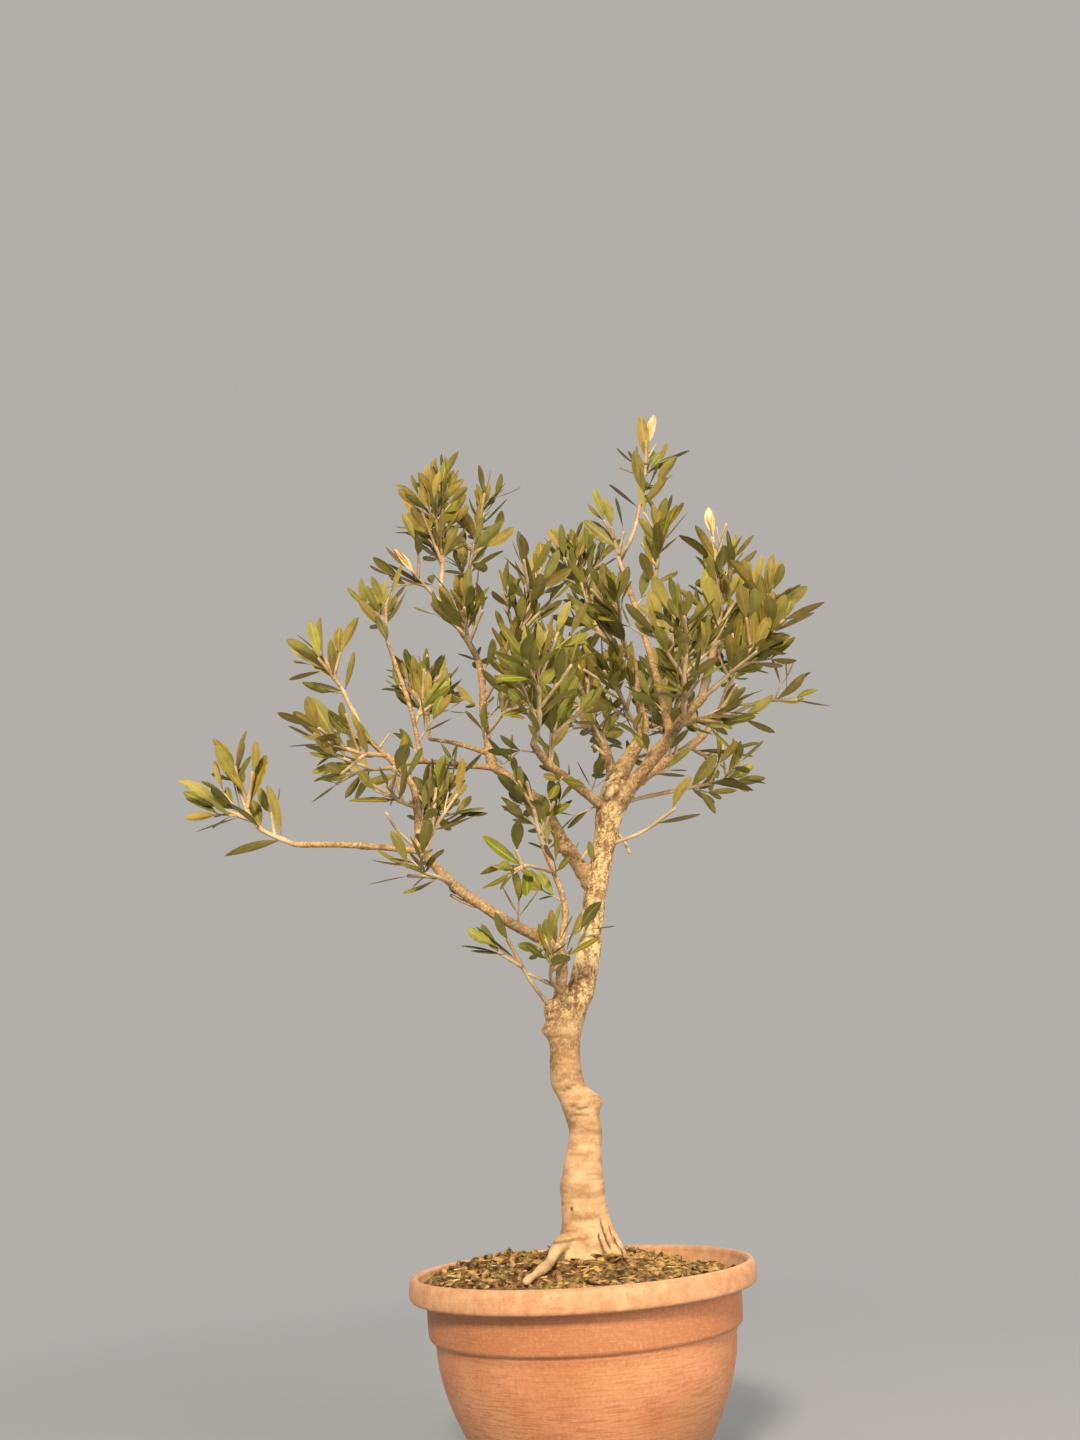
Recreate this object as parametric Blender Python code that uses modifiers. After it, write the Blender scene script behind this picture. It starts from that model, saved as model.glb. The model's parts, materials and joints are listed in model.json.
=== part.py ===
"""Olive bonsai in a round bowl pot: pot, soil, trunk, boughs and masses of foliage as closed solids.

Metres, +Z up. The origin is the centre of the pot's flat underside.
Lengths in the tables are millimetres and angles are degrees. An azimuth turns from +X towards +Y,
and a rise is measured up from level.
"""
import math
from typing import NamedTuple

import bmesh
import bpy
import numpy as np
from mathutils import Matrix

MM = 0.001
GAP = 0.3                    # clearance between neighbouring solids
UP = np.array((0.0, 0.0, 1.0))

# ---------------------------------------------------------------- pot and soil
POT_HEIGHT = 86.0
RIM_RADIUS = 80.0            # widest, half way down the rim band
RIM_BAND = 9.8               # height of the rim band
RIM_WIDTH = 4.6              # the flat top of the rim, with its rounded edges
COLLAR_RADIUS = 72.2         # plain band under the rim
COLLAR_FOOT = 60.0           # height of the step below the collar
SHOULDER_RADIUS = 68.2       # top of the bowl, under the step
FOOT_RADIUS = 43.5
FOOT_HEIGHT = 2.0
WALL = 3.0
FLOOR = 4.0
POT_STEPS = 30               # facets round the pot

SOIL_DROP = 3.0              # soil below the rim, at the pot's wall
SOIL_RISE = 1.6              # and this much higher a little way in
SOIL_CROWN = 1.0             # soil above the rim, at the trunk
SEAT_RADIUS = 31.0           # level soil under the trunk

# ---------------------------------------------------------------- trunk
TRUNK_SIDES = 14
CUT_HEIGHT = POT_HEIGHT + SOIL_CROWN    # level of the flat cut under the trunk


class Station(NamedTuple):
    """A level section of the trunk: height above the cut, centre, and mean radius."""
    height: float
    x: float
    y: float
    radius: float


TRUNK = (
    Station(0, 2.0, 0, 15.5),      # root flare
    Station(5, 2.6, 0, 14.2),
    Station(14, 3.2, 0, 12.2),
    Station(28, 3.0, 0, 10.4),
    Station(43, 3.8, 0, 9.2),
    Station(57, 6.0, 2, 7.9),      # waist under the knee
    Station(70, 3.4, 1, 8.6),      # knee
    Station(80, -1.2, 1, 7.9),
    Station(98, -1.4, -1, 7.5),
    Station(112, 1.6, -2, 9.0),    # low fork
    Station(126, 9.0, -1, 7.3),
    Station(145, 14.3, 0, 6.2),
    Station(172, 19.6, 4, 5.9),
    Station(203, 27.5, 7, 6.3),
    Station(220, 32.0, 8, 7.8),    # swelling under the high fork
    Station(234, 35.0, 8, 6.6),
)


class Swelling(NamedTuple):
    """A bump on the trunk: height, azimuth, how far it stands out, and half its height."""
    height: float
    azimuth: float
    size: float
    reach: float


ROOTS = (                          # buttresses at the cut, which die out upwards
    Swelling(2, 228, 6.0, 9.0),
    Swelling(0, 352, 4.5, 10.0),
    Swelling(0, 278, 2.5, 7.0),
    Swelling(0, 95, 4.0, 9.0),
    Swelling(0, 150, 2.5, 8.0),
)
KNOTS = (
    Swelling(71, 2, 3.8, 4.2),
    Swelling(32, 185, 0.8, 7.0),
    Swelling(106, 182, 2.4, 5.5),
    Swelling(34, 235, 0.9, 4.0),
    Swelling(216, 250, 1.4, 5.0),
    Swelling(222, 20, 2.2, 6.0),
)
STUB_LEGS = ((222, 74, 21),)       # the old leader's cut stub, beside the low fork
STUB_AT = 0.40
STUB_RADII = (6.0, 5.0)
ROOT_START = (0.0, -4.0, 12.0)     # of the root that lies on the soil: x, y, and height above the cut
ROOT_LEGS = ((-126, -9, 16), (-109, -19, 17), (-110, -8, 14), (-111, -8, 13))
ROOT_RADII = (4.2, 1.4)

# ---------------------------------------------------------------- boughs
BOUGH_SIDES = 8
COLLAR_SWELL = 0.35                # a bough's base is this much thicker, within its own width


class Limb(NamedTuple):
    """A tapering limb: its parent, where it leaves it, its (azimuth, rise, length) legs and end radii."""
    name: str
    parent: str
    at: float
    legs: tuple
    base: float
    tip: float


BOUGHS = (
    Limb("low_left_bough", "trunk_stub", 0.75,
         ((-46, 75, 24), (-124, 67, 12), (-157, 27, 29), (-166, 35, 30), (-161, 47, 27)), 2.9, 2.1),
    Limb("left_arm", "low_left_bough", 0.98, ((-158, 3, 34), (-155, -2, 29)), 1.6, 1.2),
    Limb("left_riser", "low_left_bough", 1.0, ((-94, 84, 21), (-157, 72, 16), (-169, 46, 30)), 2.0, 1.3),
    Limb("inner_riser", "low_left_bough", 0.27, ((-18, 79, 24), (-156, 72, 32)), 1.7, 1.2),
    Limb("upper_left_bough", "trunk", 0.75, ((159, 59, 30), (155, 62, 31), (166, 44, 36)), 3.9, 2.6),
    Limb("upper_left_riser", "upper_left_bough", 1.0,
         ((122, 77, 31), (111, 81, 40), (168, 64, 44), (179, 80, 14)), 2.4, 1.4),
    Limb("mid_left_bough", "upper_left_bough", 0.97,
         ((-160, 2, 23), (-151, -1, 21), (-151, -17, 17)), 1.5, 1.0),
    Limb("mid_left_riser", "mid_left_bough", 0.72, ((178, 80, 33), (-170, 73, 40)), 1.3, 1.0),
    Limb("mid_left_twig", "upper_left_riser", 0.06, ((162, 25, 24), (158, 19, 17)), 1.4, 1.0),
    Limb("front_bough", "trunk", 0.93, ((-130, 20, 34), (-123, 12, 21), (-121, 26, 16)), 2.7, 1.7),
    Limb("back_left_bough", "trunk", 0.98, ((93, 60, 36), (118, 50, 42)), 2.8, 1.7),
    Limb("back_riser", "trunk", 1.0, ((18, 56, 36), (102, 81, 23), (87, 81, 26)), 3.0, 1.8),
    Limb("right_bough", "trunk", 0.93, ((-40, 36, 38), (-44, 35, 29), (-40, 31, 14)), 4.2, 2.3),
    Limb("back_right_bough", "right_bough", 0.26, ((47, 30, 35), (37, 33, 35), (44, 41, 27)), 3.0, 1.7),
    Limb("top_riser", "right_bough", 0.68, ((99, 68, 48), (129, 77, 44), (135, 76, 36)), 2.1, 1.3),
)

# ---------------------------------------------------------------- masses of foliage
TWIG_SIDES = 3
LEAF_LENGTH = 26.0
LEAF_WIDTH = 8.2
SOLID_LENGTH = 1.08                # a solid leaf is this much larger than life, since it stands for two
SOLID_WIDTH = 1.25
LEAF_THICKNESS = 1.1
LEAF_SINK = 0.5                    # the leaf's root starts this far behind the twig's axis
LEAF_SHARE = 0.45                  # this share of the leaves the rule gives stands as a solid
PAIR_STEP = 11.5                   # between pairs of leaves along a twig
LEAF_LEAN = 52.0                   # from the twig
TWIG_LEAN = 46.0                   # from the stem
TWIG_TURN = 137.5                  # from one side twig to the next, round the stem
TWIG_RADII = (1.15, 0.85)
STEM_TIP = 0.95
LIMB_CLEAR = 1.2                   # a leaf stays this far from every limb
SPACE_CLEAR = 2.0                  # and this much nearer to its own stem than to another mass's


class Mass(NamedTuple):
    """A mass of foliage: the limb it grows on and where, its stem's legs, side twigs, and their length."""
    name: str
    parent: str
    at: float
    legs: tuple
    twigs: int
    twig: float
    base: float = 1.3
    bare: float = 0.3              # the stem's first part, with no leaves


MASSES = (
    Mass("far_left_leaves", "left_arm", 1.0,
         ((-170, 27, 18), (-174, 58, 17), (168, 74, 18)), 4, 18, 1.2, 0.05),
    Mass("left_tip_leaves", "left_riser", 1.0, ((-169, 66, 26), (-170, 62, 24)), 2, 18, 1.3, 0.45),
    Mass("left_side_leaves", "left_riser", 0.78, ((-137, -4, 18), (-159, 15, 16)), 5, 24),
    Mass("left_bend_leaves", "left_riser", 0.30, ((-123, 4, 14), (-110, 22, 12)), 3, 18, 1.1),
    Mass("left_inner_leaves", "low_left_bough", 0.97, ((72, 49, 21), (82, 62, 22)), 4, 24),
    Mass("left_front_leaves", "low_left_bough", 0.80, ((-114, 2, 21), (-127, 7, 16)), 2, 18, 1.1),
    Mass("mid_left_leaves", "mid_left_riser", 1.0, ((180, 75, 12), (180, 82, 11)), 4, 18, 1.0, 0.1),
    Mass("mid_left_low_leaves", "mid_left_riser", 0.30, ((66, 60, 18), (62, 68, 17)), 4, 20, 1.0, 0.2),
    Mass("mid_left_end_leaves", "mid_left_bough", 1.0, ((161, 4, 12), (155, 6, 15)), 3, 22, 1.1),
    Mass("left_back_leaves", "mid_left_twig", 1.0, ((101, 68, 22), (79, 75, 22)), 4, 26, 1.1),
    Mass("crown_left_leaves", "upper_left_riser", 1.0, ((-1, 87, 24), (180, 86, 42)), 5, 30, 1.4, 0.15),
    Mass("crown_left_low_leaves", "upper_left_riser", 0.89, ((-141, 37, 16), (-146, 42, 14)), 3, 24),
    Mass("crown_left_back_leaves", "upper_left_riser", 0.84,
         ((47, 64, 33), (67, 68, 35), (40, 70, 27)), 5, 28),
    Mass("left_column_leaves", "upper_left_riser", 0.55, ((-112, 37, 16), (-102, 53, 17)), 3, 22),
    Mass("centre_high_leaves", "upper_left_riser", 0.33,
         ((-45, 41, 37), (-50, 49, 28), (-40, 64, 21)), 6, 28, 1.4),
    Mass("inner_leaves", "inner_riser", 1.0, ((-110, 58, 16), (-118, 68, 18)), 4, 19, 1.2, 0.1),
    Mass("inner_front_leaves", "inner_riser", 0.74, ((-123, -1, 24), (-125, -20, 15)), 1, 14, 1.0, 0.5),
    Mass("low_leaves", "trunk_stub", 0.9, ((-142, 48, 20), (-143, 57, 24)), 1, 14, 1.1, 0.5),
    Mass("low_shoot_leaves", "low_left_bough", 0.10, ((-102, 21, 20), (-68, 50, 17)), 3, 15, 1.1, 0.2),
    Mass("front_leaves", "front_bough", 1.0, ((-72, 36, 16), (-87, 54, 26)), 6, 30, 1.6, 0.1),
    Mass("front_side_leaves", "front_bough", 0.76, ((54, 74, 22), (24, 76, 20)), 3, 22),
    Mass("back_left_leaves", "back_left_bough", 1.0, ((101, 50, 35), (103, 52, 34)), 6, 30, 1.6),
    Mass("back_low_leaves", "back_left_bough", 0.57, ((87, 29, 36), (96, 31, 35)), 5, 30),
    Mass("centre_back_leaves", "back_riser", 1.0,
         ((145, 49, 33), (128, 72, 33), (108, 83, 31)), 6, 28, 1.6),
    Mass("centre_leaves", "back_riser", 0.86, ((-112, 48, 24), (-108, 52, 22)), 5, 26),
    Mass("top_leaves", "top_riser", 1.0, ((0, 63, 23), (0, 75, 28), (0, 78, 34)), 3, 16, 1.3, 0.35),
    Mass("top_left_leaves", "top_riser", 0.89, ((-138, 73, 18), (-134, 79, 15)), 3, 16),
    Mass("top_right_leaves", "top_riser", 0.63, ((-30, 65, 27), (-45, 75, 33)), 4, 20, 1.3, 0.4),
    Mass("right_inner_leaves", "top_riser", 0.22, ((69, 47, 36), (51, 69, 28)), 5, 24, 1.3),
    Mass("centre_low_leaves", "back_left_bough", 0.62, ((-114, 57, 22), (-70, 61, 22)), 5, 22, 1.2),
    Mass("right_front_leaves", "right_bough", 0.83, ((-93, 28, 24), (-81, 52, 24)), 6, 30, 1.5, 0.2),
    Mass("right_mid_leaves", "right_bough", 1.0,
         ((20, 70, 36), (28, 75, 32), (88, 84, 36)), 7, 28, 1.9, 0.25),
    Mass("right_side_leaves", "right_bough", 0.92, ((-26, 33, 31), (-26, 46, 20), (-17, 72, 22)), 6, 20),
    Mass("far_right_leaves", "back_right_bough", 0.81, ((-6, 26, 34), (-8, -1, 24)), 1, 12, 1.3, 0.65),
    Mass("right_back_leaves", "back_right_bough", 1.0, ((57, 51, 42), (55, 58, 37)), 6, 30, 1.6),
    Mass("right_hanging_leaves", "back_right_bough", 0.61, ((43, -9, 19), (27, 24, 14)), 3, 14, 1.2),
    Mass("right_low_leaves", "trunk", 0.95, ((8, 11, 42), (11, 12, 23), (9, 41, 16)), 4, 14, 1.3, 0.55),
    Mass("low_right_leaves", "trunk", 0.85, ((-12, 14, 21), (-13, 29, 21)), 1, 12, 1.0, 0.6),
    Mass("column_low_leaves", "upper_left_riser", 0.16, ((-49, 28, 18), (-43, 57, 22)), 5, 24, 1.2, 0.2),
    Mass("right_under_leaves", "right_bough", 0.74, ((-49, 0, 21), (-24, 9, 14)), 4, 20, 1.2, 0.2),
    Mass("fork_leaves", "back_riser", 0.40, ((-133, 50, 21), (-121, 52, 19)), 5, 24, 1.2, 0.2),
    Mass("back_right_inner_leaves", "back_right_bough", 0.38, ((74, 48, 48), (83, 46, 44)), 6, 30, 1.5),
)
SEED = 41


# ---------------------------------------------------------------- limbs: paths and radii
def unit(vector):
    """The vector at length one."""
    return vector / np.linalg.norm(vector)


def heading(azimuth, rise):
    """Unit vector at an azimuth and a rise."""
    a, e = math.radians(azimuth), math.radians(rise)
    return np.array((math.cos(e) * math.cos(a), math.cos(e) * math.sin(a), math.sin(e)))


def course(start, legs):
    """Corners of a limb: its start, then the end of each leg in turn."""
    steps = [length * heading(azimuth, rise) for azimuth, rise, length in legs]
    return np.vstack((start, start + np.cumsum(steps, axis=0)))


def smooth(corners, steps):
    """Catmull-Rom curve through the corners, with so many points to each leg."""
    ends = np.vstack((2 * corners[0] - corners[1], corners, 2 * corners[-1] - corners[-2]))
    p0, p1, p2, p3 = (ends[k:len(ends) - 3 + k, None] for k in range(4))
    t = (np.arange(steps) / steps)[None, :, None]
    curve = 0.5 * (2 * p1 + (p2 - p0) * t + (2 * p0 - 5 * p1 + 4 * p2 - p3) * t ** 2
                   + (3 * p1 - p0 - 3 * p2 + p3) * t ** 3)
    return np.vstack((curve.reshape(-1, corners.shape[1]), corners[-1]))


def along(path):
    """Distance of each point of a path from its start."""
    return np.concatenate(((0.0,), np.cumsum(np.linalg.norm(np.diff(path, axis=0), axis=1))))


def point_at(path, share):
    """Point and direction at a share of a path's length."""
    run = along(path)
    place = share * run[-1]
    point = np.array([np.interp(place, run, path[:, axis]) for axis in range(3)])
    after = min(max(int(np.searchsorted(run, place)), 1), len(path) - 1)
    return point, unit(path[after] - path[after - 1])


def taper(path, base, tip):
    """Radius at each point of a limb: an even taper, with a collar where it leaves its parent."""
    run = along(path)
    collar = 1 + COLLAR_SWELL * np.exp(-run / (2 * base))
    return (base + (tip - base) * run / run[-1]) * collar


def trunk_spine():
    """The trunk's centres and mean radii, from its cut to its fork, as rows of x, y, z and radius."""
    rows = np.array([(s.x, s.y, CUT_HEIGHT + s.height, s.radius) for s in TRUNK], float)
    return smooth(rows, 2)


def trunk_radius(height, mean, angles):
    """Radius of a level section at each angle: the mean, with the roots and the knots standing out."""
    radius = np.full(len(angles), mean)
    for bump in ROOTS + KNOTS:
        turn = (angles - math.radians(bump.azimuth) + math.pi) % (2 * math.pi) - math.pi
        width = 0.45 if bump in ROOTS else 0.7
        radius += bump.size * np.exp(-((height - bump.height) / bump.reach) ** 2 - (turn / width) ** 2)
    return radius


# ---------------------------------------------------------------- the growth rule
def tilt(direction, lean, roll):
    """Direction leant over by an angle, towards the side that the roll picks, from the upper side."""
    side = np.cross(direction, UP if abs(direction[2]) < 0.95 else np.array((1.0, 0.0, 0.0)))
    side = unit(side)
    upper = np.cross(side, direction)
    a, r = math.radians(lean), math.radians(roll)
    return math.cos(a) * direction + math.sin(a) * (math.cos(r) * upper + math.sin(r) * side)


class Leaf(NamedTuple):
    """A leaf: its root on the twig's axis, the way it points, the way its face looks, its length,
    and whether it ends its mass's stem."""
    root: np.ndarray
    direction: np.ndarray
    face: np.ndarray
    length: float
    ends_stem: bool = False


def leaf_points(leaf):
    """Points over the outer four fifths of a leaf, for testing what it would touch."""
    side = np.cross(leaf.face, leaf.direction)
    t = np.linspace(0.2, 1.0, 6)[:, None, None]
    half = 0.5 * LEAF_WIDTH / LEAF_LENGTH * leaf.length * np.sin(math.pi * t)
    across = np.array((-1.0, 0.0, 1.0))[None, :, None]
    return (leaf.root + t * leaf.length * leaf.direction + half * across * side).reshape(-1, 3)


def leaves_on(path, first, rng):
    """Pairs of leaves down a twig from a distance on, each pair a quarter turn round from the last.

    They lean less and are shorter towards the tip, and their faces turn to the twig's tip and the sky."""
    run = along(path)
    nodes = np.arange(run[-1] - 0.6, first, -PAIR_STEP)
    roll = rng.uniform(0, 180)
    leaves = []
    for rank, place in enumerate(nodes):
        root, direction = point_at(path, place / run[-1])
        for side in (0, 180):
            lean = (0.5 if rank == 0 else 0.85 if rank == 1 else 1.0) * LEAF_LEAN * rng.uniform(0.8, 1.2)
            way = unit(tilt(direction, lean, roll + side + rng.uniform(-14, 14)) + 0.18 * UP)
            face = 0.6 * direction + 0.5 * UP
            face = unit(face - way * (face @ way))
            size = (0.78 if rank == 0 else 0.95) * rng.uniform(0.82, 1.14)
            leaves.append(Leaf(root, way, face, LEAF_LENGTH * size))
        roll += 90
    return leaves


def distances(points, starts, ends):
    """Distance from each point (rows) to each straight segment (columns), and where along it."""
    run = ends - starts
    t = np.einsum("psk,sk->ps", points[:, None] - starts, run) / np.einsum("sk,sk->s", run, run)
    t = np.clip(t, 0, 1)
    nearest = starts + t[..., None] * run
    return np.linalg.norm(points[:, None] - nearest, axis=2), t


class Spaces:
    """Tells whether points keep clear of the limbs and inside their own mass's space.

    A mass's space is all that lies nearer to its stem than to any other mass's stem."""

    def __init__(self, limbs, stems):
        self.limb_starts = np.vstack([path[:-1] for path, radii in limbs])
        self.limb_ends = np.vstack([path[1:] for path, radii in limbs])
        self.limb_radii = np.concatenate([np.maximum(radii[:-1], radii[1:]) for path, radii in limbs])
        self.stem_starts = np.vstack([path[:-1] for path in stems])
        self.stem_ends = np.vstack([path[1:] for path in stems])
        self.owner = np.concatenate([np.full(len(path) - 1, k) for k, path in enumerate(stems)])

    def allow(self, points, mass):
        """True where no point comes near a limb or nearer to another mass's stem."""
        gaps = distances(points, self.limb_starts, self.limb_ends)[0] - self.limb_radii
        if gaps.min() < LIMB_CLEAR:
            return False
        reach = distances(points, self.stem_starts, self.stem_ends)[0]
        mine = self.owner == mass
        return bool((reach[:, mine].min(axis=1) + SPACE_CLEAR < reach[:, ~mine].min(axis=1)).all())


def grow(mass, index, stem, spaces):
    """A mass's twigs and leaves. Side twigs leave the stem one after another, each TWIG_TURN round
    from the last, shorter towards the tip and turning up; leaves stand in pairs on twigs and stem.
    What would leave the mass's space or touch a limb is skipped."""
    rng = np.random.default_rng(SEED + index)
    twigs = []
    leaves = leaves_on(stem, mass.bare * along(stem)[-1], rng)
    leaves = [leaf._replace(ends_stem=rank < 2) for rank, leaf in enumerate(leaves)]
    roll = rng.uniform(0, 360)
    for rank in range(mass.twigs):
        share = mass.bare + (0.92 - mass.bare) * (rank + rng.uniform(0.2, 0.8)) / mass.twigs
        start, direction = point_at(stem, share)
        way = tilt(direction, TWIG_LEAN * rng.uniform(0.8, 1.25), roll)
        roll += TWIG_TURN
        length = mass.twig * (1.15 - 0.45 * share) * rng.uniform(0.8, 1.15)
        way = unit(way + 0.15 * UP)
        twig = np.array((start, start + length * unit(way + 0.25 * UP)))
        if not spaces.allow(twig[1:], index):
            continue
        twigs.append(twig)
        leaves += leaves_on(twig, 0.3 * length, rng)
    return twigs, [leaf for leaf in leaves if spaces.allow(leaf_points(leaf), index)]


# ---------------------------------------------------------------- making solids
def new_object(name, bm, material, collection, smooth_angle=None):
    """A bmesh in millimetres as a named object in metres."""
    bmesh.ops.scale(bm, vec=(MM, MM, MM), verts=bm.verts)
    mesh = bpy.data.meshes.new(name)
    bm.to_mesh(mesh)
    bm.free()
    if smooth_angle is not None:
        mesh.shade_smooth()
        mesh.set_sharp_from_angle(angle=math.radians(smooth_angle))
    mesh.materials.append(material)
    obj = bpy.data.objects.new(name, mesh)
    collection.objects.link(obj)
    return obj


def loft(rings):
    """Closed bmesh through rings of corners, joined by quads and capped flat at both ends."""
    bm = bmesh.new()
    rows = [[bm.verts.new(corner) for corner in ring] for ring in rings]
    for low, high in zip(rows, rows[1:]):
        for k in range(len(low)):
            after = (k + 1) % len(low)
            bm.faces.new((low[k], low[after], high[after], high[k]))
    bm.faces.new(rows[0][::-1])
    bm.faces.new(rows[-1])
    return bm


def tube_rings(path, radii, sides):
    """Rings square to a path, turned as little as the path allows from one to the next."""
    ways = np.gradient(path, axis=0)
    across = np.cross(ways[0], (0.3, 1.0, 0.2))
    rings = []
    turns = 2 * math.pi * np.arange(sides) / sides
    for point, way, radius in zip(path, ways, radii):
        across = unit(across - way * (across @ way) / (way @ way))
        other = unit(np.cross(way, across))
        rings.append(point + radius * (np.outer(np.cos(turns), across) + np.outer(np.sin(turns), other)))
    return rings


def trunk_rings():
    """Level rings from the flat cut to the fork."""
    angles = 2 * math.pi * np.arange(TRUNK_SIDES) / TRUNK_SIDES
    rings = []
    for x, y, z, mean in trunk_spine():
        radius = trunk_radius(z - CUT_HEIGHT, mean, angles)
        rings.append(np.column_stack((x + radius * np.cos(angles), y + radius * np.sin(angles),
                                      np.full(TRUNK_SIDES, z))))
    return rings


def leaf_solid(leaf):
    """A leaf of eight faces: a flattened octahedron with its root sunk in the twig."""
    bm = bmesh.new()
    bmesh.ops.create_uvsphere(bm, u_segments=4, v_segments=2, radius=1.0)
    side = np.cross(leaf.direction, leaf.face)
    size = leaf.length / LEAF_LENGTH
    length = SOLID_LENGTH * leaf.length
    axes = (side * LEAF_WIDTH * SOLID_WIDTH / 2 * size, leaf.face * LEAF_THICKNESS / 2 * size,
            leaf.direction * (length + LEAF_SINK) / 2)
    centre = leaf.root + leaf.direction * (length - LEAF_SINK) / 2
    frame = Matrix([(*(axis[row] for axis in axes), centre[row]) for row in range(3)] + [(0, 0, 0, 1)])
    bm.transform(frame)
    return bm


def evaluated_mesh(obj):
    """A mesh copy of an object with its modifiers applied."""
    bpy.context.view_layer.update()
    return bpy.data.meshes.new_from_object(obj.evaluated_get(bpy.context.evaluated_depsgraph_get()))


def cutter_of(obj, collection):
    """A guide as large as an object and GAP more all round."""
    cutter = bpy.data.objects.new(obj.name + "_clearance", evaluated_mesh(obj))
    grow_by = cutter.modifiers.new("clearance", "DISPLACE")
    grow_by.direction = "NORMAL"
    grow_by.mid_level = 0.0
    grow_by.strength = 1.1 * GAP * MM
    cutter.hide_render = True
    cutter.display_type = "WIRE"
    collection.objects.link(cutter)
    return cutter


def boolean(obj, operation, other=None, collection=None):
    """A Boolean modifier with another object, or with all of a collection."""
    modifier = obj.modifiers.new(operation.lower(), "BOOLEAN")
    modifier.operation = operation
    if collection:
        modifier.operand_type = "COLLECTION"
        modifier.collection = collection
    else:
        modifier.object = other
    return modifier


def apply_modifiers(obj):
    """The object's mesh with its modifiers taken in, and its largest body alone."""
    mesh = evaluated_mesh(obj)
    obj.modifiers.clear()
    bm = bmesh.new()
    bm.from_mesh(mesh)
    bodies = []
    left = set(bm.verts)
    while left:
        body = {left.pop()}
        edge = list(body)
        while edge:
            near = {e.other_vert(v) for v in edge for e in v.link_edges} - body
            body |= near
            edge = list(near)
        left -= body
        bodies.append(body)
    scraps = set().union(*sorted(bodies, key=len)[:-1])
    bmesh.ops.delete(bm, geom=list(scraps), context="VERTS")
    bm.to_mesh(mesh)
    bm.free()
    obj.data = mesh


def srgb(hex_colour):
    """Linear colour from an sRGB hex value."""
    parts = [((hex_colour >> shift) & 255) / 255 for shift in (16, 8, 0)]
    return [p / 12.92 if p <= 0.04045 else ((p + 0.055) / 1.055) ** 2.4 for p in parts] + [1.0]


def material(name, hex_colour, roughness):
    """A Principled material of one colour."""
    made = bpy.data.materials.new(name)
    made.use_nodes = True
    shader = made.node_tree.nodes["Principled BSDF"]
    shader.inputs["Base Color"].default_value = srgb(hex_colour)
    shader.inputs["Roughness"].default_value = roughness
    shader.inputs["Metallic"].default_value = 0.0
    made.diffuse_color = srgb(hex_colour)
    return made


# ---------------------------------------------------------------- sub-parts
def turned(name, profile, steps, made_of, collection):
    """A turned solid: a profile of (radius, height) points run once round the axis."""
    bm = bmesh.new()
    corners = [bm.verts.new((radius, 0.0, height)) for radius, height in profile]
    for start, end in zip(corners, corners[1:]):
        bm.edges.new((start, end))
    obj = new_object(name, bm, made_of, collection)
    screw = obj.modifiers.new("turn", "SCREW")
    screw.steps = steps
    screw.render_steps = steps
    screw.use_merge_vertices = True
    screw.merge_threshold = 0.00001
    return obj


def bowl_radius(height):
    """Outer radius of the bowl: a quarter of a sine wave from the foot to the shoulder."""
    share = (height - FOOT_HEIGHT) / (COLLAR_FOOT - FOOT_HEIGHT)
    return FOOT_RADIUS + (SHOULDER_RADIUS - FOOT_RADIUS) * math.sin(math.pi / 2 * min(max(share, 0), 1))


def make_pot(made_of, collection):
    """Bowl pot: a rounded rim band, a plain collar with a step under it, and a bowl on a flat foot."""
    band_foot = POT_HEIGHT - RIM_BAND
    inner_top = RIM_RADIUS - RIM_WIDTH
    inner_collar = COLLAR_RADIUS - WALL
    heights = np.linspace(COLLAR_FOOT - WALL, FOOT_HEIGHT, 6)
    inside = [(0.0, FLOOR), (bowl_radius(FLOOR) - WALL, FLOOR)]
    inside += [(bowl_radius(h) - WALL, h) for h in heights[3::-2]]
    inside += [(inner_collar - 1.0, COLLAR_FOOT + 4.0), (inner_collar, band_foot),
               (inner_top, POT_HEIGHT - 2.0)]
    rim = [(inner_top + 1.2, POT_HEIGHT), (RIM_RADIUS - 1.6, POT_HEIGHT - 0.6),
           (RIM_RADIUS - 0.3, POT_HEIGHT - 2.6), (RIM_RADIUS, POT_HEIGHT - 0.5 * RIM_BAND),
           (RIM_RADIUS - 0.5, band_foot + 0.8), (RIM_RADIUS - 1.6, band_foot)]
    collar = [(COLLAR_RADIUS, band_foot - 0.6), (COLLAR_RADIUS - 1.0, COLLAR_FOOT + 1.2),
              (SHOULDER_RADIUS + 1.0, COLLAR_FOOT)]
    bowl = [(bowl_radius(h), h) for h in heights] + [(FOOT_RADIUS, 0.0), (0.0, 0.0)]
    return turned("pot", inside + rim + collar + bowl, POT_STEPS, made_of, collection)


def make_soil(made_of, collection):
    """Soil that fills the pot, GAP clear of it, and rises to a level seat for the trunk."""
    inner_collar = COLLAR_RADIUS - WALL - GAP
    surface = POT_HEIGHT - SOIL_DROP
    seat = CUT_HEIGHT - GAP
    shoulder = 0.6 * (SEAT_RADIUS + RIM_RADIUS)
    profile = [(0.0, seat), (SEAT_RADIUS, seat), (shoulder, surface + SOIL_RISE),
               (inner_collar + 2.0, surface), (inner_collar, POT_HEIGHT - RIM_BAND),
               (inner_collar - 1.2, COLLAR_FOOT + 4.0)]
    profile += [(bowl_radius(h) - WALL - 1.4, h) for h in np.linspace(COLLAR_FOOT - 4.0, FLOOR + 4.0, 4)]
    profile += [(bowl_radius(FLOOR) - WALL - 1.6, FLOOR + GAP), (0.0, FLOOR + GAP)]
    return turned("soil", profile, POT_STEPS, made_of, collection)


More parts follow.
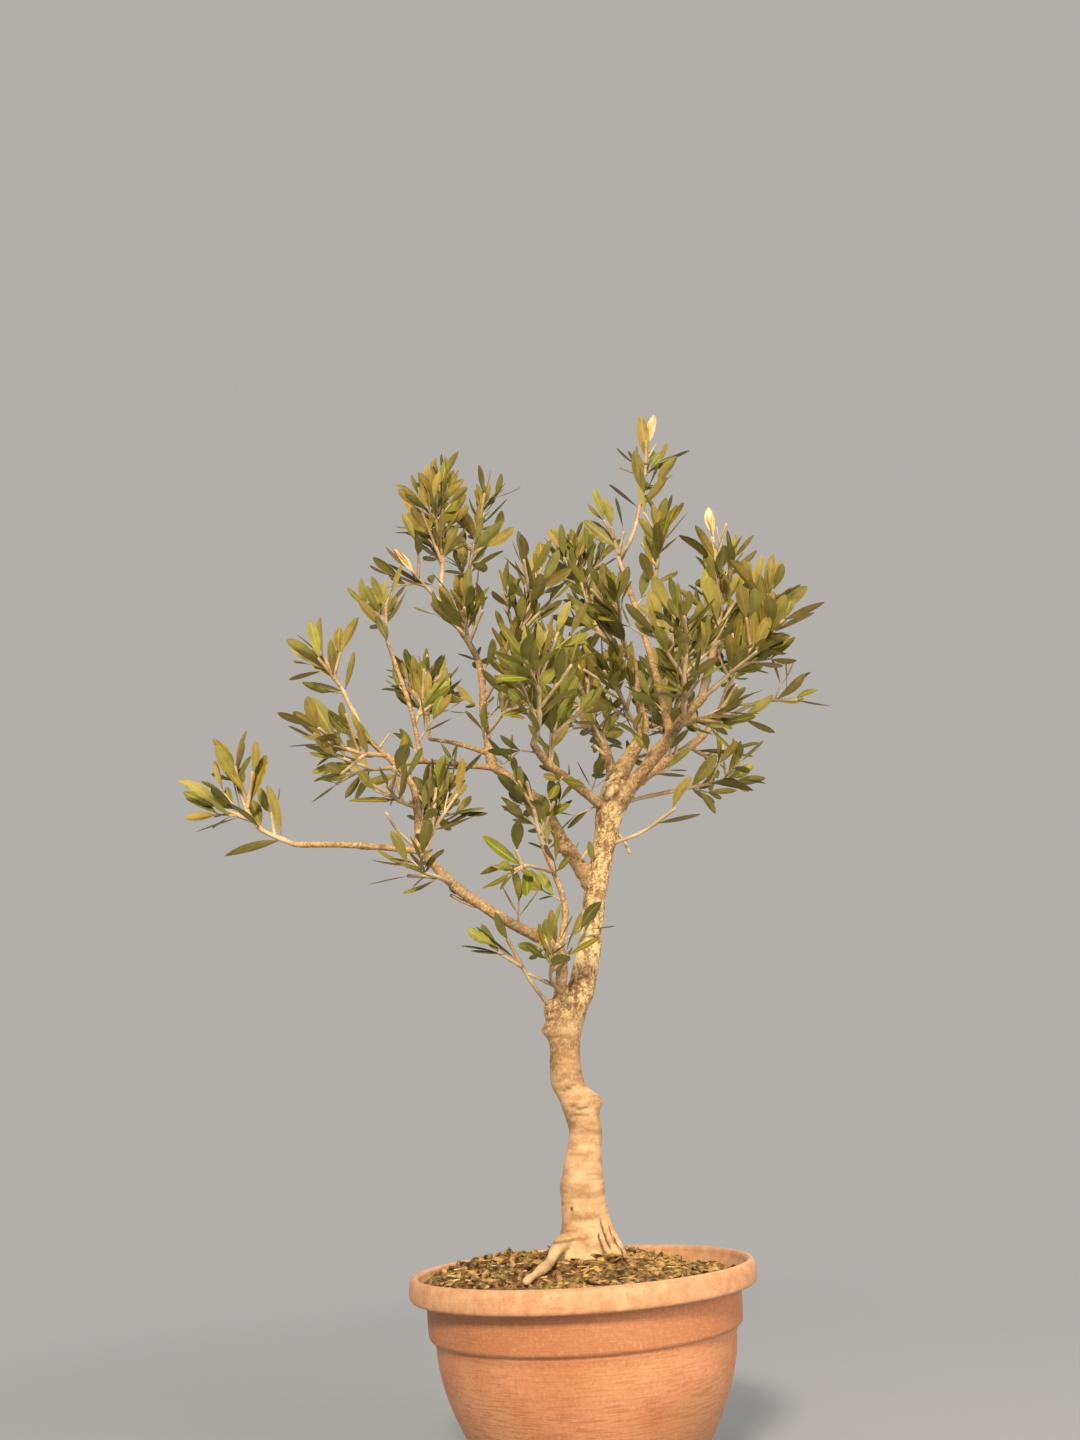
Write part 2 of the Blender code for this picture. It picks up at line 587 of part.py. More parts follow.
def main():
    """Makes every sub-part, in the order that each one's parent is there first."""
    for obj in list(bpy.data.objects):
        bpy.data.objects.remove(obj, do_unlink=True)
    tree = bpy.data.collections.new("olive_bonsai")
    guides = bpy.data.collections.new("guides")
    for group in (tree, guides):
        bpy.context.scene.collection.children.link(group)

    plastic = material("moulded_plastic", 0xCD8258, 0.6)
    earth = material("potting_soil", 0x6B5030, 0.95)
    bark = material("bark", 0xB98E5A, 0.85)
    foliage = material("foliage", 0x7C7A2E, 0.6)
    make_pot(plastic, tree)
    make_soil(earth, tree)

    spine = trunk_spine()
    paths = {"trunk": spine[:, :3]}
    radii = {"trunk": spine[:, 3]}
    trunk = new_object("trunk", loft(trunk_rings()), bark, tree, 50)
    stub_start = point_at(paths["trunk"], STUB_AT)[0]
    paths["trunk_stub"] = smooth(course(stub_start, STUB_LEGS), 2)
    radii["trunk_stub"] = np.linspace(*STUB_RADII, 3)
    paths["root"] = smooth(course(np.array(ROOT_START) + CUT_HEIGHT * UP, ROOT_LEGS), 2)
    radii["root"] = np.linspace(*ROOT_RADII, len(paths["root"]))
    for name in ("trunk_stub", "root"):
        added = new_object(name, loft(tube_rings(paths[name], radii[name], BOUGH_SIDES)), bark, guides)
        boolean(trunk, "UNION", added)
        apply_modifiers(trunk)
        bpy.data.objects.remove(added, do_unlink=True)
    cutters = {"trunk": [cutter_of(trunk, guides)]}    # a limb's own, then those of what grows on it
    cutters["trunk_stub"] = cutters["trunk"]

    for limb in BOUGHS:
        start = point_at(paths[limb.parent], limb.at)[0]
        path = smooth(course(start, limb.legs), 2)
        paths[limb.name] = path
        radii[limb.name] = taper(path, limb.base, limb.tip)
        bough = new_object(limb.name, loft(tube_rings(path, radii[limb.name], BOUGH_SIDES)), bark, tree, 50)
        for cutter in cutters[limb.parent]:
            boolean(bough, "DIFFERENCE", cutter)
        apply_modifiers(bough)
        cutters[limb.name] = [cutter_of(bough, guides)]
        cutters[limb.parent] += cutters[limb.name]

    stems = []
    for mass in MASSES:
        start, direction = point_at(paths[mass.parent], mass.at)
        stems.append(smooth(course(start, mass.legs), 2))
    spaces = Spaces([(paths[name], radii[name]) for name in paths], stems)
    kept = 0.0
    for index, (mass, stem) in enumerate(zip(MASSES, stems)):
        twigs, leaves = grow(mass, index, stem, spaces)
        stem_radii = np.linspace(mass.base, STEM_TIP, len(stem))
        node = new_object(mass.name, loft(tube_rings(stem, stem_radii, TWIG_SIDES)), foliage, tree)
        for cutter in cutters[mass.parent]:
            boolean(node, "DIFFERENCE", cutter)
        apply_modifiers(node)
        cutters[mass.parent].append(cutter_of(node, guides))
        pieces = bpy.data.collections.new(mass.name + "_pieces")
        bpy.context.scene.collection.children.link(pieces)
        for twig in twigs:
            rings = tube_rings(twig, np.linspace(*TWIG_RADII, len(twig)), TWIG_SIDES)
            new_object("twig", loft(rings), foliage, pieces)
        for leaf in leaves:
            kept += LEAF_SHARE
            if kept >= 1 or leaf.ends_stem:
                kept -= 1
                new_object("leaf", leaf_solid(leaf), foliage, pieces)
        boolean(node, "UNION", collection=pieces)
        apply_modifiers(node)
        for piece in list(pieces.objects):
            bpy.data.objects.remove(piece, do_unlink=True)
        bpy.data.collections.remove(pieces)


main()
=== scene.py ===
"""Olive bonsai in a round bowl pot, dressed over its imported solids.

Metres, +Z up. The origin is the centre of the pot's flat underside. Lengths in the tables are
millimetres and angles are degrees: an azimuth turns from +X towards +Y, and a rise is measured up
from level. Shapes are worked out in millimetres and turned to metres when they become meshes.
"""
import json
import math
from typing import NamedTuple

import bpy
import numpy as np
from mathutils import Matrix

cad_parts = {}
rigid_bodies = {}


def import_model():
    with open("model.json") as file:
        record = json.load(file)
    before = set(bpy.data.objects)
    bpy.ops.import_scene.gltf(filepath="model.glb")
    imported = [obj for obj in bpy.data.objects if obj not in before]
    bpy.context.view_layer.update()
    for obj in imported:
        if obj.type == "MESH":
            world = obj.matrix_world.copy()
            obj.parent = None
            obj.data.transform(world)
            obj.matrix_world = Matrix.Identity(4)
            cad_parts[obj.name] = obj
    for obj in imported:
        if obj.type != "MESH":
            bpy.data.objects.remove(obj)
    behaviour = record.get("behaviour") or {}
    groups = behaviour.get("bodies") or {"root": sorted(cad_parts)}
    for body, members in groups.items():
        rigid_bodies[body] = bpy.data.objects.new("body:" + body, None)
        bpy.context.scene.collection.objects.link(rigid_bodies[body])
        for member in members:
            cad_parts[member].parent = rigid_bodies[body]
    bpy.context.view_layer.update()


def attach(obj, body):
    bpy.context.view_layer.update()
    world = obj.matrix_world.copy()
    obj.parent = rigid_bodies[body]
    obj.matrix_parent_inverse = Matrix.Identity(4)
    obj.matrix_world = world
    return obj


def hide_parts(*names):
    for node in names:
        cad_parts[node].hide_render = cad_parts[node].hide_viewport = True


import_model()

MM = 0.001
UP = np.array((0.0, 0.0, 1.0))
BODY = "root"


def table(kind, *rows):
    """Rows of numbers as named values of one kind."""
    return tuple(kind(*row) for row in rows)


# ---- pot and soil
COLLAR_FOOT = 60.0           # height of the step below the collar
SHOULDER_RADIUS = 68.2       # top of the bowl, under the step
FOOT_RADIUS = 43.5
FOOT_HEIGHT = 2.0
WALL = 3.0
FLOOR = 4.0
POT_SIDES = 240
POT_WAVER = 0.12             # slow waver of the moulded wall
RIM = (                      # inner lip, over the top, to the band's lower edge: radius and height
    (75.4, 83.0), (75.9, 85.0), (77.2, 86.0), (78.8, 85.6), (79.7, 84.0),
    (80.0, 81.4), (79.9, 78.6), (79.5, 77.2), (78.6, 76.5),
)
COLLAR = (                   # undercut, plain band, and its step
    (74.2, 76.3), (72.8, 76.0), (72.4, 75.0), (72.1, 71.6), (71.8, 66.8), (71.5, 62.9),
    (71.3, 61.5), (70.6, 60.6), (69.6, 60.2), (69.1, 59.6), (68.8, 58.6),
)
INNER_WALL = (               # above the bowl, up to the lip
    (68.2, 64.0), (69.0, 69.0), (69.6, 74.0), (72.5, 78.6), (75.0, 83.0),
)

SOIL_SEAT = 86.7             # soil round the trunk
SOIL_EDGE = 83.0             # soil at the pot's wall
SOIL_SAG = 4.0               # and so much lower on the right, where it has washed out
SOIL_HEAP = 3.6              # heaped so much higher behind the trunk on the left
TRUNK_HEAP = 2.2             # and so much against the trunk
CRUMBS = ((13.0, 1.6), (5.0, 1.3), (2.2, 0.7))       # their sizes, and how high they rise
SEAT_RADIUS = 31.0
SOIL_RADIUS = 73.6           # at the wall
SOIL_BASE = SOIL_EDGE - 16.0       # underside of the layer that is modelled
BASE_RADIUS = SOIL_RADIUS - 6.5    # and its radius, inside the bowl
SOIL_SIDES = 260
LITTER_SEED = 7
CHIPS = 620
CHIP_SIZES = ((1.0, 0.7, 0.35), (4.8, 2.4, 1.3))     # half sizes, from and to
TUFTS = 420                  # tried; moss grows only in patches
TUFT_SIZES = ((0.8, 0.8, 0.6), (2.4, 2.0, 1.5))
MOSS_PATCH = 17.0
STRAWS = 60
STRAW_REACH = 71.5           # no straw lies further out
WALL_GAP = 3.5               # from other litter to the wall

# ---- trunk
CUT_HEIGHT = 87.0            # level of the flat cut under the trunk


class Station(NamedTuple):
    """A level section of the trunk: height above the cut, centre, and mean radius."""
    height: float
    x: float
    y: float
    radius: float


TRUNK = table(
    Station,
    (0, 2.0, 0, 15.5),      # root flare
    (5, 2.6, 0, 14.2),
    (14, 3.2, 0, 12.2),
    (28, 3.0, 0, 10.4),
    (43, 3.8, 0, 9.2),
    (57, 6.0, 2, 7.9),      # waist under the knee
    (70, 3.4, 1, 8.6),      # knee
    (80, -1.2, 1, 7.9),
    (98, -1.4, -1, 7.5),
    (112, 1.6, -2, 9.0),    # low fork
    (126, 9.0, -1, 7.3),
    (145, 14.3, 0, 6.2),
    (172, 19.6, 4, 5.9),
    (203, 27.5, 7, 6.3),
    (220, 32.0, 8, 7.8),    # swelling under the high fork
    (234, 35.0, 8, 6.6),
)


class Swelling(NamedTuple):
    """A bump on the trunk: height, azimuth, how far it stands out, and half its height and width.

    The width is an angle in radians, and a negative size makes a crease."""
    height: float
    azimuth: float
    size: float
    reach: float
    width: float = 0.7


ROOTS = table(                     # buttresses at the cut, which die out upwards
    Swelling,
    (2, 228, 6.0, 9.0, 0.45),
    (0, 352, 4.5, 10.0, 0.45),
    (0, 278, 2.5, 7.0, 0.45),
    (0, 95, 4.0, 9.0, 0.45),
    (0, 150, 2.5, 8.0, 0.45),
)
KNOTS = table(
    Swelling,
    (71, 2, 3.8, 4.2),
    (32, 185, 0.8, 7.0),
    (106, 182, 2.4, 5.5),
    (34, 235, 0.9, 4.0),
    (216, 250, 1.4, 5.0),
    (222, 20, 2.2, 6.0),
)
CREASES = table(                   # folds and splits of the bark, too fine for the solid
    Swelling,
    (76.0, 240, -0.9, 0.7, 0.30),     # over the knee, rising to the right
    (76.9, 262, -1.1, 0.8, 0.30),
    (78.2, 284, -0.9, 0.7, 0.28),
    (68.4, 246, -0.8, 0.9, 0.30),     # under it
    (67.2, 268, -1.2, 0.9, 0.30),
    (67.6, 290, -1.0, 0.7, 0.26),
    (64.6, 255, -0.8, 0.8, 0.40),
    (64.0, 282, -0.7, 0.7, 0.36),
    (56.0, 285, -0.6, 1.7, 1.2),
    (47.0, 270, -0.3, 1.3, 1.2),
    (41.5, 245, 0.5, 4.0, 0.8),
    (37.8, 300, -0.4, 0.8, 0.6),
    (35.6, 305, -0.4, 0.7, 0.5),
    (29.0, 300, -0.35, 1.4, 1.1),
    (23.0, 246, 1.2, 2.2, 0.24),      # a knot with its hollow
    (23.3, 236, -1.6, 1.0, 0.11),
    (19.0, 265, -0.4, 1.4, 1.0),
    (10.8, 250, -0.9, 0.8, 0.5),      # over the root
    (101.0, 240, -0.6, 1.4, 1.0),
    (104.5, 200, 2.0, 2.8, 0.42),
    (109.5, 215, -0.8, 1.2, 0.7),
    (16.5, 309, -1.1, 2.2, 0.05),     # splits in the flare, each a slanting chain
    (13.5, 312, -1.4, 2.6, 0.07),
    (10.5, 316, -1.5, 2.6, 0.08),
    (7.5, 319, -1.4, 2.6, 0.07),
    (11.0, 296, -1.0, 2.2, 0.05),
    (8.5, 299, -1.3, 2.4, 0.07),
    (6.0, 303, -1.3, 2.4, 0.07),
    (3.5, 307, -1.2, 2.4, 0.06),
    (12.5, 334, -1.2, 3.0, 0.05),
    (8.0, 339, -1.4, 3.2, 0.06),
    (3.0, 343, -1.2, 3.0, 0.05),
    (208.5, 245, 1.1, 3.4, 0.42),
    (208.5, 245, -1.5, 1.9, 0.22),
    (92.0, 270, 0.35, 2.0, 1.2),
)
STUB_LEGS = ((222, 74, 21),)       # the old leader's cut stub, beside the low fork
STUB_AT = 0.40
STUB_RADII = (6.0, 5.0)
NECK_LIMB = "back_riser"           # its first leg is thick with old wood
NECK_RADII = (5.6, 3.2)
ROOT_START = (0.0, -4.0, 12.0)     # of the root that lies on the soil: x, y, and height above the cut
ROOT_LEGS = ((-126, -9, 16), (-109, -19, 17), (-110, -8, 14), (-111, -8, 13))
ROOT_RADII = (4.2, 1.4)
TRUNK_SIDES = 110
TRUNK_STEPS = 22                   # rings to each station
TRUNK_CAP = 3.0                    # from its last ring to the point that closes it
BOUGH_SEED = 17
SCAR_STEP = 11                     # of bough for each scar that an old twig left
SCAR_REACH = 1.8
SKIN_STEP = 0.69                   # between the points of the bark's skin
SKIN_GROWTH = 0.16                 # what softening the skin takes off a bough's radius
SMOOTH_HEIGHT = 45.0               # below this the trunk has no flakes
FLAKY_HEIGHTS = (92, 116)          # it starts to flake at the first and is flaky above the second
WRINKLE_STEP = 2.6                 # between the crests of the level wrinkles
FLARE_RADII = (15, 18)             # the flare ends and the root on the soil begins between these
SHED = (150, 16, 10, 4.5)          # patch that has shed its bark: height and half its own, x and half
FORK_PALE = 17.0                   # reach of the pale bark round the high fork, partly painted light
LUMP = 0.42                        # how far the skin moves for the bark's lumps,
WRINKLE = 0.10                     # its level wrinkles,
FLAKE = 0.22                       # the flakes on it,
HOLLOW = 0.34                      # the hollows that they leave,
SCALE = 0.16                       # the scales between,
GRIT = 0.07                        # the finest roughness
CORK = 0.55                        # and the cork at its foot

# ---- boughs
COLLAR_SWELL = 0.35                # a bough's base is this much thicker, within its own width


class Limb(NamedTuple):
    """A tapering limb: its parent, where it leaves it, its (azimuth, rise, length) legs and end radii."""
    name: str
    parent: str
    at: float
    legs: tuple
    base: float
    tip: float


BOUGHS = table(
    Limb,
    ("low_left_bough", "trunk_stub", 0.75,
         ((-46, 75, 24), (-124, 67, 12), (-157, 27, 29), (-166, 35, 30), (-161, 47, 27)), 2.9, 2.1),
    ("left_arm", "low_left_bough", 0.98, ((-158, 3, 34), (-155, -2, 29)), 1.6, 1.2),
    ("left_riser", "low_left_bough", 1.0, ((-94, 84, 21), (-157, 72, 16), (-169, 46, 30)), 2.0, 1.3),
    ("inner_riser", "low_left_bough", 0.27, ((-18, 79, 24), (-156, 72, 32)), 1.7, 1.2),
    ("upper_left_bough", "trunk", 0.75, ((159, 59, 30), (155, 62, 31), (166, 44, 36)), 3.9, 2.6),
    ("upper_left_riser", "upper_left_bough", 1.0,
         ((122, 77, 31), (111, 81, 40), (168, 64, 44), (179, 80, 14)), 2.4, 1.4),
    ("mid_left_bough", "upper_left_bough", 0.97,
         ((-160, 2, 23), (-151, -1, 21), (-151, -17, 17)), 1.5, 1.0),
    ("mid_left_riser", "mid_left_bough", 0.72, ((178, 80, 33), (-170, 73, 40)), 1.3, 1.0),
    ("mid_left_twig", "upper_left_riser", 0.06, ((162, 25, 24), (158, 19, 17)), 1.4, 1.0),
    ("front_bough", "trunk", 0.93, ((-130, 20, 34), (-123, 12, 21), (-121, 26, 16)), 2.7, 1.7),
    ("back_left_bough", "trunk", 0.98, ((93, 60, 36), (118, 50, 42)), 2.8, 1.7),
    ("back_riser", "trunk", 1.0, ((18, 56, 36), (102, 81, 23), (87, 81, 26)), 3.0, 1.8),
    ("right_bough", "trunk", 0.93, ((-40, 36, 38), (-44, 35, 29), (-40, 31, 14)), 4.2, 2.3),
    ("back_right_bough", "right_bough", 0.26, ((47, 30, 35), (37, 33, 35), (44, 41, 27)), 3.0, 1.7),
    ("top_riser", "right_bough", 0.68, ((99, 68, 48), (129, 77, 44), (135, 76, 36)), 2.1, 1.3),
)
DEAD_TWIGS = (                     # short bare snags where twigs died back: as limbs, without names
    ("left_arm", 0.12, ((176, 12, 13), (168, 3, 11)), 1.3, 0.9),
    ("low_left_bough", 0.62, ((-178, 20, 11), (172, 30, 9)), 1.3, 0.8),
    ("low_left_bough", 0.97, ((-176, 42, 15), (171, 58, 14)), 1.0, 0.6),
    ("trunk", 0.86, ((-165, -22, 9), (-150, -48, 8)), 1.5, 0.9),
    ("mid_left_bough", 0.30, ((120, 60, 8),), 0.9, 0.6),
    ("upper_left_bough", 0.52, ((-150, 25, 10), (-160, 50, 8)), 1.3, 0.7),
    ("right_bough", 0.45, ((-95, 62, 9),), 1.5, 1.0),
    ("trunk", 0.90, ((15, -42, 10), (20, -66, 9)), 1.2, 0.7),
    ("back_right_bough", 0.45, ((-60, 50, 8),), 1.2, 0.8),
    ("left_riser", 0.86, ((40, 55, 11),), 0.8, 0.5),
    ("upper_left_riser", 0.30, ((30, 48, 10),), 1.0, 0.6),
    ("back_left_bough", 0.35, ((170, 50, 11),), 1.2, 0.8),
    ("low_left_bough", 0.36, ((-100, -20, 8), (-110, -50, 7)), 1.0, 0.6),
)

# ---- masses of foliage
LEAF_LENGTH = 26.0
LEAF_WIDTH = 8.2
PAIR_STEP = 11.5                   # between pairs of leaves along a twig
TIP_BARE = 0.6                     # from a twig's end back to its first pair
LEAF_LEAN = 52.0                   # from the twig
TWIG_LEAN = 46.0                   # from the stem
TWIG_TURN = 137.5                  # from one side twig to the next, round the stem
TWIG_BARE = 0.3                    # a twig's first part, with no leaves
LAST_TWIG = 0.92                   # no twig stands nearer to the end of its stem
TWIG_RADII = (1.05, 0.75)
STEM_TIP = 0.85
LIMB_CLEAR = 1.2                   # a leaf stays this far from every limb
SPACE_CLEAR = 2.0                  # and this much nearer to its own stem than to another mass's


class Mass(NamedTuple):
    """A mass of foliage: its node's name without the ending _leaves, the limb it grows on and where,
    its stem's legs, side twigs, and their length."""
    name: str
    parent: str
    at: float
    legs: tuple
    twigs: int
    twig: float
    base: float = 1.3
    bare: float = 0.3              # the stem's first part, with no leaves


MASSES = table(
    Mass,
    ("far_left", "left_arm", 1.0, ((-170, 27, 18), (-174, 58, 17), (168, 74, 18)), 4, 18, 1.2, 0.05),
    ("left_tip", "left_riser", 1.0, ((-169, 66, 26), (-170, 62, 24)), 2, 18, 1.3, 0.45),
    ("left_side", "left_riser", 0.78, ((-137, -4, 18), (-159, 15, 16)), 5, 24),
    ("left_bend", "left_riser", 0.30, ((-123, 4, 14), (-110, 22, 12)), 3, 18, 1.1),
    ("left_inner", "low_left_bough", 0.97, ((72, 49, 21), (82, 62, 22)), 4, 24),
    ("left_front", "low_left_bough", 0.80, ((-114, 2, 21), (-127, 7, 16)), 2, 18, 1.1),
    ("mid_left", "mid_left_riser", 1.0, ((180, 75, 12), (180, 82, 11)), 4, 18, 1.0, 0.1),
    ("mid_left_low", "mid_left_riser", 0.30, ((66, 60, 18), (62, 68, 17)), 4, 20, 1.0, 0.2),
    ("mid_left_end", "mid_left_bough", 1.0, ((161, 4, 12), (155, 6, 15)), 3, 22, 1.1),
    ("left_back", "mid_left_twig", 1.0, ((101, 68, 22), (79, 75, 22)), 4, 26, 1.1),
    ("crown_left", "upper_left_riser", 1.0, ((-1, 87, 24), (180, 86, 42)), 5, 30, 1.4, 0.15),
    ("crown_left_low", "upper_left_riser", 0.89, ((-141, 37, 16), (-146, 42, 14)), 3, 24),
    ("crown_left_back", "upper_left_riser", 0.84, ((47, 64, 33), (67, 68, 35), (40, 70, 27)), 5, 28),
    ("left_column", "upper_left_riser", 0.55, ((-112, 37, 16), (-102, 53, 17)), 3, 22),
    ("centre_high", "upper_left_riser", 0.33, ((-45, 41, 37), (-50, 49, 28), (-40, 64, 21)), 6, 28, 1.4),
    ("inner", "inner_riser", 1.0, ((-110, 58, 16), (-118, 68, 18)), 4, 19, 1.2, 0.1),
    ("inner_front", "inner_riser", 0.74, ((-123, -1, 24), (-125, -20, 15)), 1, 14, 1.0, 0.5),
    ("low", "trunk_stub", 0.9, ((-142, 48, 20), (-143, 57, 24)), 1, 14, 1.1, 0.5),
    ("low_shoot", "low_left_bough", 0.10, ((-102, 21, 20), (-68, 50, 17)), 3, 15, 1.1, 0.2),
    ("front", "front_bough", 1.0, ((-72, 36, 16), (-87, 54, 26)), 6, 30, 1.6, 0.1),
    ("front_side", "front_bough", 0.76, ((54, 74, 22), (24, 76, 20)), 3, 22),
    ("back_left", "back_left_bough", 1.0, ((101, 50, 35), (103, 52, 34)), 6, 30, 1.6),
    ("back_low", "back_left_bough", 0.57, ((87, 29, 36), (96, 31, 35)), 5, 30),
    ("centre_back", "back_riser", 1.0, ((145, 49, 33), (128, 72, 33), (108, 83, 31)), 6, 28, 1.6),
    ("centre", "back_riser", 0.86, ((-112, 48, 24), (-108, 52, 22)), 5, 26),
    ("top", "top_riser", 1.0, ((0, 63, 23), (0, 75, 28), (0, 78, 34)), 3, 16, 1.3, 0.35),
    ("top_left", "top_riser", 0.89, ((-138, 73, 18), (-134, 79, 15)), 3, 16),
    ("top_right", "top_riser", 0.63, ((-30, 65, 27), (-45, 75, 33)), 4, 20, 1.3, 0.4),
    ("right_inner", "top_riser", 0.22, ((69, 47, 36), (51, 69, 28)), 5, 24, 1.3),
    ("centre_low", "back_left_bough", 0.62, ((-114, 57, 22), (-70, 61, 22)), 5, 22, 1.2),
    ("right_front", "right_bough", 0.83, ((-93, 28, 24), (-81, 52, 24)), 6, 30, 1.5, 0.2),
    ("right_mid", "right_bough", 1.0, ((20, 70, 36), (28, 75, 32), (88, 84, 36)), 7, 28, 1.9, 0.25),
    ("right_side", "right_bough", 0.92, ((-26, 33, 31), (-26, 46, 20), (-17, 72, 22)), 6, 20),
    ("far_right", "back_right_bough", 0.81, ((-6, 26, 34), (-8, -1, 24)), 1, 12, 1.3, 0.65),
    ("right_back", "back_right_bough", 1.0, ((57, 51, 42), (55, 58, 37)), 6, 30, 1.6),
    ("right_hanging", "back_right_bough", 0.61, ((43, -9, 19), (27, 24, 14)), 3, 14, 1.2),
    ("right_low", "trunk", 0.95, ((8, 11, 42), (11, 12, 23), (9, 41, 16)), 4, 14, 1.3, 0.55),
    ("low_right", "trunk", 0.85, ((-12, 14, 21), (-13, 29, 21)), 1, 12, 1.0, 0.6),
    ("column_low", "upper_left_riser", 0.16, ((-49, 28, 18), (-43, 57, 22)), 5, 24, 1.2, 0.2),
    ("right_under", "right_bough", 0.74, ((-49, 0, 21), (-24, 9, 14)), 4, 20, 1.2, 0.2),
    ("fork", "back_riser", 0.40, ((-133, 50, 21), (-121, 52, 19)), 5, 24, 1.2, 0.2),
    ("back_right_inner", "back_right_bough", 0.38, ((74, 48, 48), (83, 46, 44)), 6, 30, 1.5),
)
SEED = 41
SECOND_SEED = 4100                 # of the second set of twigs on crowded stems
SHOOT_SEED = 1041
BUD_SEED = 2041
SPUR_SEED = 31
DEAL_SEED = 23

# ---- looks of the sprays
SHOOT_SHARE = 0.60                 # of the leaf nodes behind a tip have a short shoot in their axil
SHADED_SHARE = 0.90                # and so many in the crowded masses inside the crown
SHOOT_LENGTH = (7.0, 15.0)         # the shortest and the longest
SHOOT_LEAF = 16.5                  # length of its leaves
TWO_PAIRS = 10.0                   # a shoot of this length has a second pair of leaves
SHOOT_RADII = (0.6, 0.4)
SPURS = {                          # short leafy shoots straight from the limbs inside the crown
    "upper_left_bough": 7, "upper_left_riser": 8, "front_bough": 6, "inner_riser": 4, "low_left_bough": 5,
    "mid_left_bough": 4, "left_riser": 3, "mid_left_riser": 3, "back_left_bough": 6, "back_riser": 6,
    "right_bough": 5, "back_right_bough": 6, "top_riser": 5,
}
SPUR_LENGTH = (6.0, 16.0)
SPUR_LEAN = 58.0                   # from the limb
TWIG_SIDES = 8

KINDS = {                          # of leaf, with the colours of its upper face, underside and midrib
    "olive": (0x74701C, 0x9A8F44, 0xA49C4C),
    "bronze": (0x867622, 0xA08D44, 0xB2A04C),
    "dark": (0x4C4C12, 0x7A7838, 0x828038),
    "bright": (0x767E1C, 0x9C9A40, 0xAEB24C),
    "cream": (0xD9B476, 0xE6C794, 0xEEDAAE),
}
USUAL = (0.50, 0.24, 0.18, 0.08, 0.0)      # shares of the kinds in a spray, in their order
# front masses: many bright leaves, painted light on the lit front of the crown
BRIGHT = (0.30, 0.10, 0.14, 0.46, 0.0)
# masses inside the crown, and the spurs: many dark leaves, painted shade
SHADED = (0.34, 0.12, 0.44, 0.10, 0.0)
TAN = (0.42, 0.42, 0.10, 0.06, 0.0)
SPRAY_SHARES = {name: shares for shares, names in (
    (BRIGHT, "front front_side low_shoot low inner_front"),
    (SHADED, "inner left_inner centre centre_back back_low back_left back_right_inner right_hanging"),
    (TAN, "left_tip left_side right_side crown_left far_right"),
) for name in names.split()}
CREAM_TIPS = {                     # masses that end in a closed bud of young leaves, and how far from
    "top": 10.0,                   # its foot no other leaf stands
    "right_mid": 13.0,
    "crown_left": 4.0,
    "crown_left_low": 9.0,
}
CREAM_LEAVES = 6
CREAM_LENGTH = (15.0, 21.0)
CROWDED = (                        # masses whose stems carry a second set of twigs
    "right_inner", "fork", "back_right_inner", "top_right", "left_column", "column_low", "mid_left_low",
    "left_back", "centre", "crown_left", "left_inner", "right_under", "right_side",
)


# ---- limbs: paths and radii
def unit(vectors):
    """The vectors at length one."""
    return vectors / np.linalg.norm(vectors, axis=-1, keepdims=True)


def heading(azimuth, rise):
    """Unit vector at an azimuth and a rise."""
    a, e = math.radians(azimuth), math.radians(rise)
    return np.array((math.cos(e) * math.cos(a), math.cos(e) * math.sin(a), math.sin(e)))


def smooth(corners, steps):
    """Catmull-Rom curve through the corners, with so many points to each leg."""
    ends = np.vstack((2 * corners[0] - corners[1], corners, 2 * corners[-1] - corners[-2]))
    p0, p1, p2, p3 = (ends[k:len(ends) - 3 + k, None] for k in range(4))
    t = (np.arange(steps) / steps)[None, :, None]
    curve = 0.5 * (2 * p1 + (p2 - p0) * t + (2 * p0 - 5 * p1 + 4 * p2 - p3) * t ** 2
                   + (3 * p1 - p0 - 3 * p2 + p3) * t ** 3)
    return np.vstack((curve.reshape(-1, corners.shape[1]), corners[-1]))


def course(start, legs, steps):
    """Path of a limb: a smooth curve through its start and the end of each leg in turn."""
    ways = [length * heading(azimuth, rise) for azimuth, rise, length in legs]
    return smooth(np.vstack((start, start + np.cumsum(ways, axis=0))), steps)


def along(path):
    """Distance of each point of a path from its start."""
    return np.concatenate(((0.0,), np.cumsum(np.linalg.norm(np.diff(path, axis=0), axis=1))))


def points_on(path, places):
    """Points of a path at distances from its start."""
    run = along(path)
    return np.column_stack([np.interp(places, run, path[:, axis]) for axis in range(3)])


def point_at(path, share):
    """Point and direction at a share of a path's length."""
    run = along(path)
    place = share * run[-1]
    after = min(max(int(np.searchsorted(run, place)), 1), len(path) - 1)
    return points_on(path, place)[0], unit(path[after] - path[after - 1])


def taper(path, base, tip):
    """Radius at each point of a limb: an even taper, with a collar where it leaves its parent."""
    run = along(path)
    collar = 1 + COLLAR_SWELL * np.exp(-run / (2 * base))
    return (base + (tip - base) * run / run[-1]) * collar


def turns_round(count):
    """Angles evenly round a circle."""
    return 2 * math.pi * np.arange(count) / count


def trunk_spine(steps):
    """The trunk's centres and mean radii, from its cut to its fork, as rows of x, y, z and radius."""
    rows = np.array([(s.x, s.y, CUT_HEIGHT + s.height, s.radius) for s in TRUNK], float)
    return smooth(rows, steps)


def spread(bump, heights, angles):
    """How much of a bump there is, 0 to 1: exp(-(height off it / reach)^2 - (turn off it / width)^2)."""
    turn = (angles - math.radians(bump.azimuth) + math.pi) % (2 * math.pi) - math.pi
    return np.exp(-((heights - bump.height) / bump.reach) ** 2 - (turn / bump.width) ** 2)


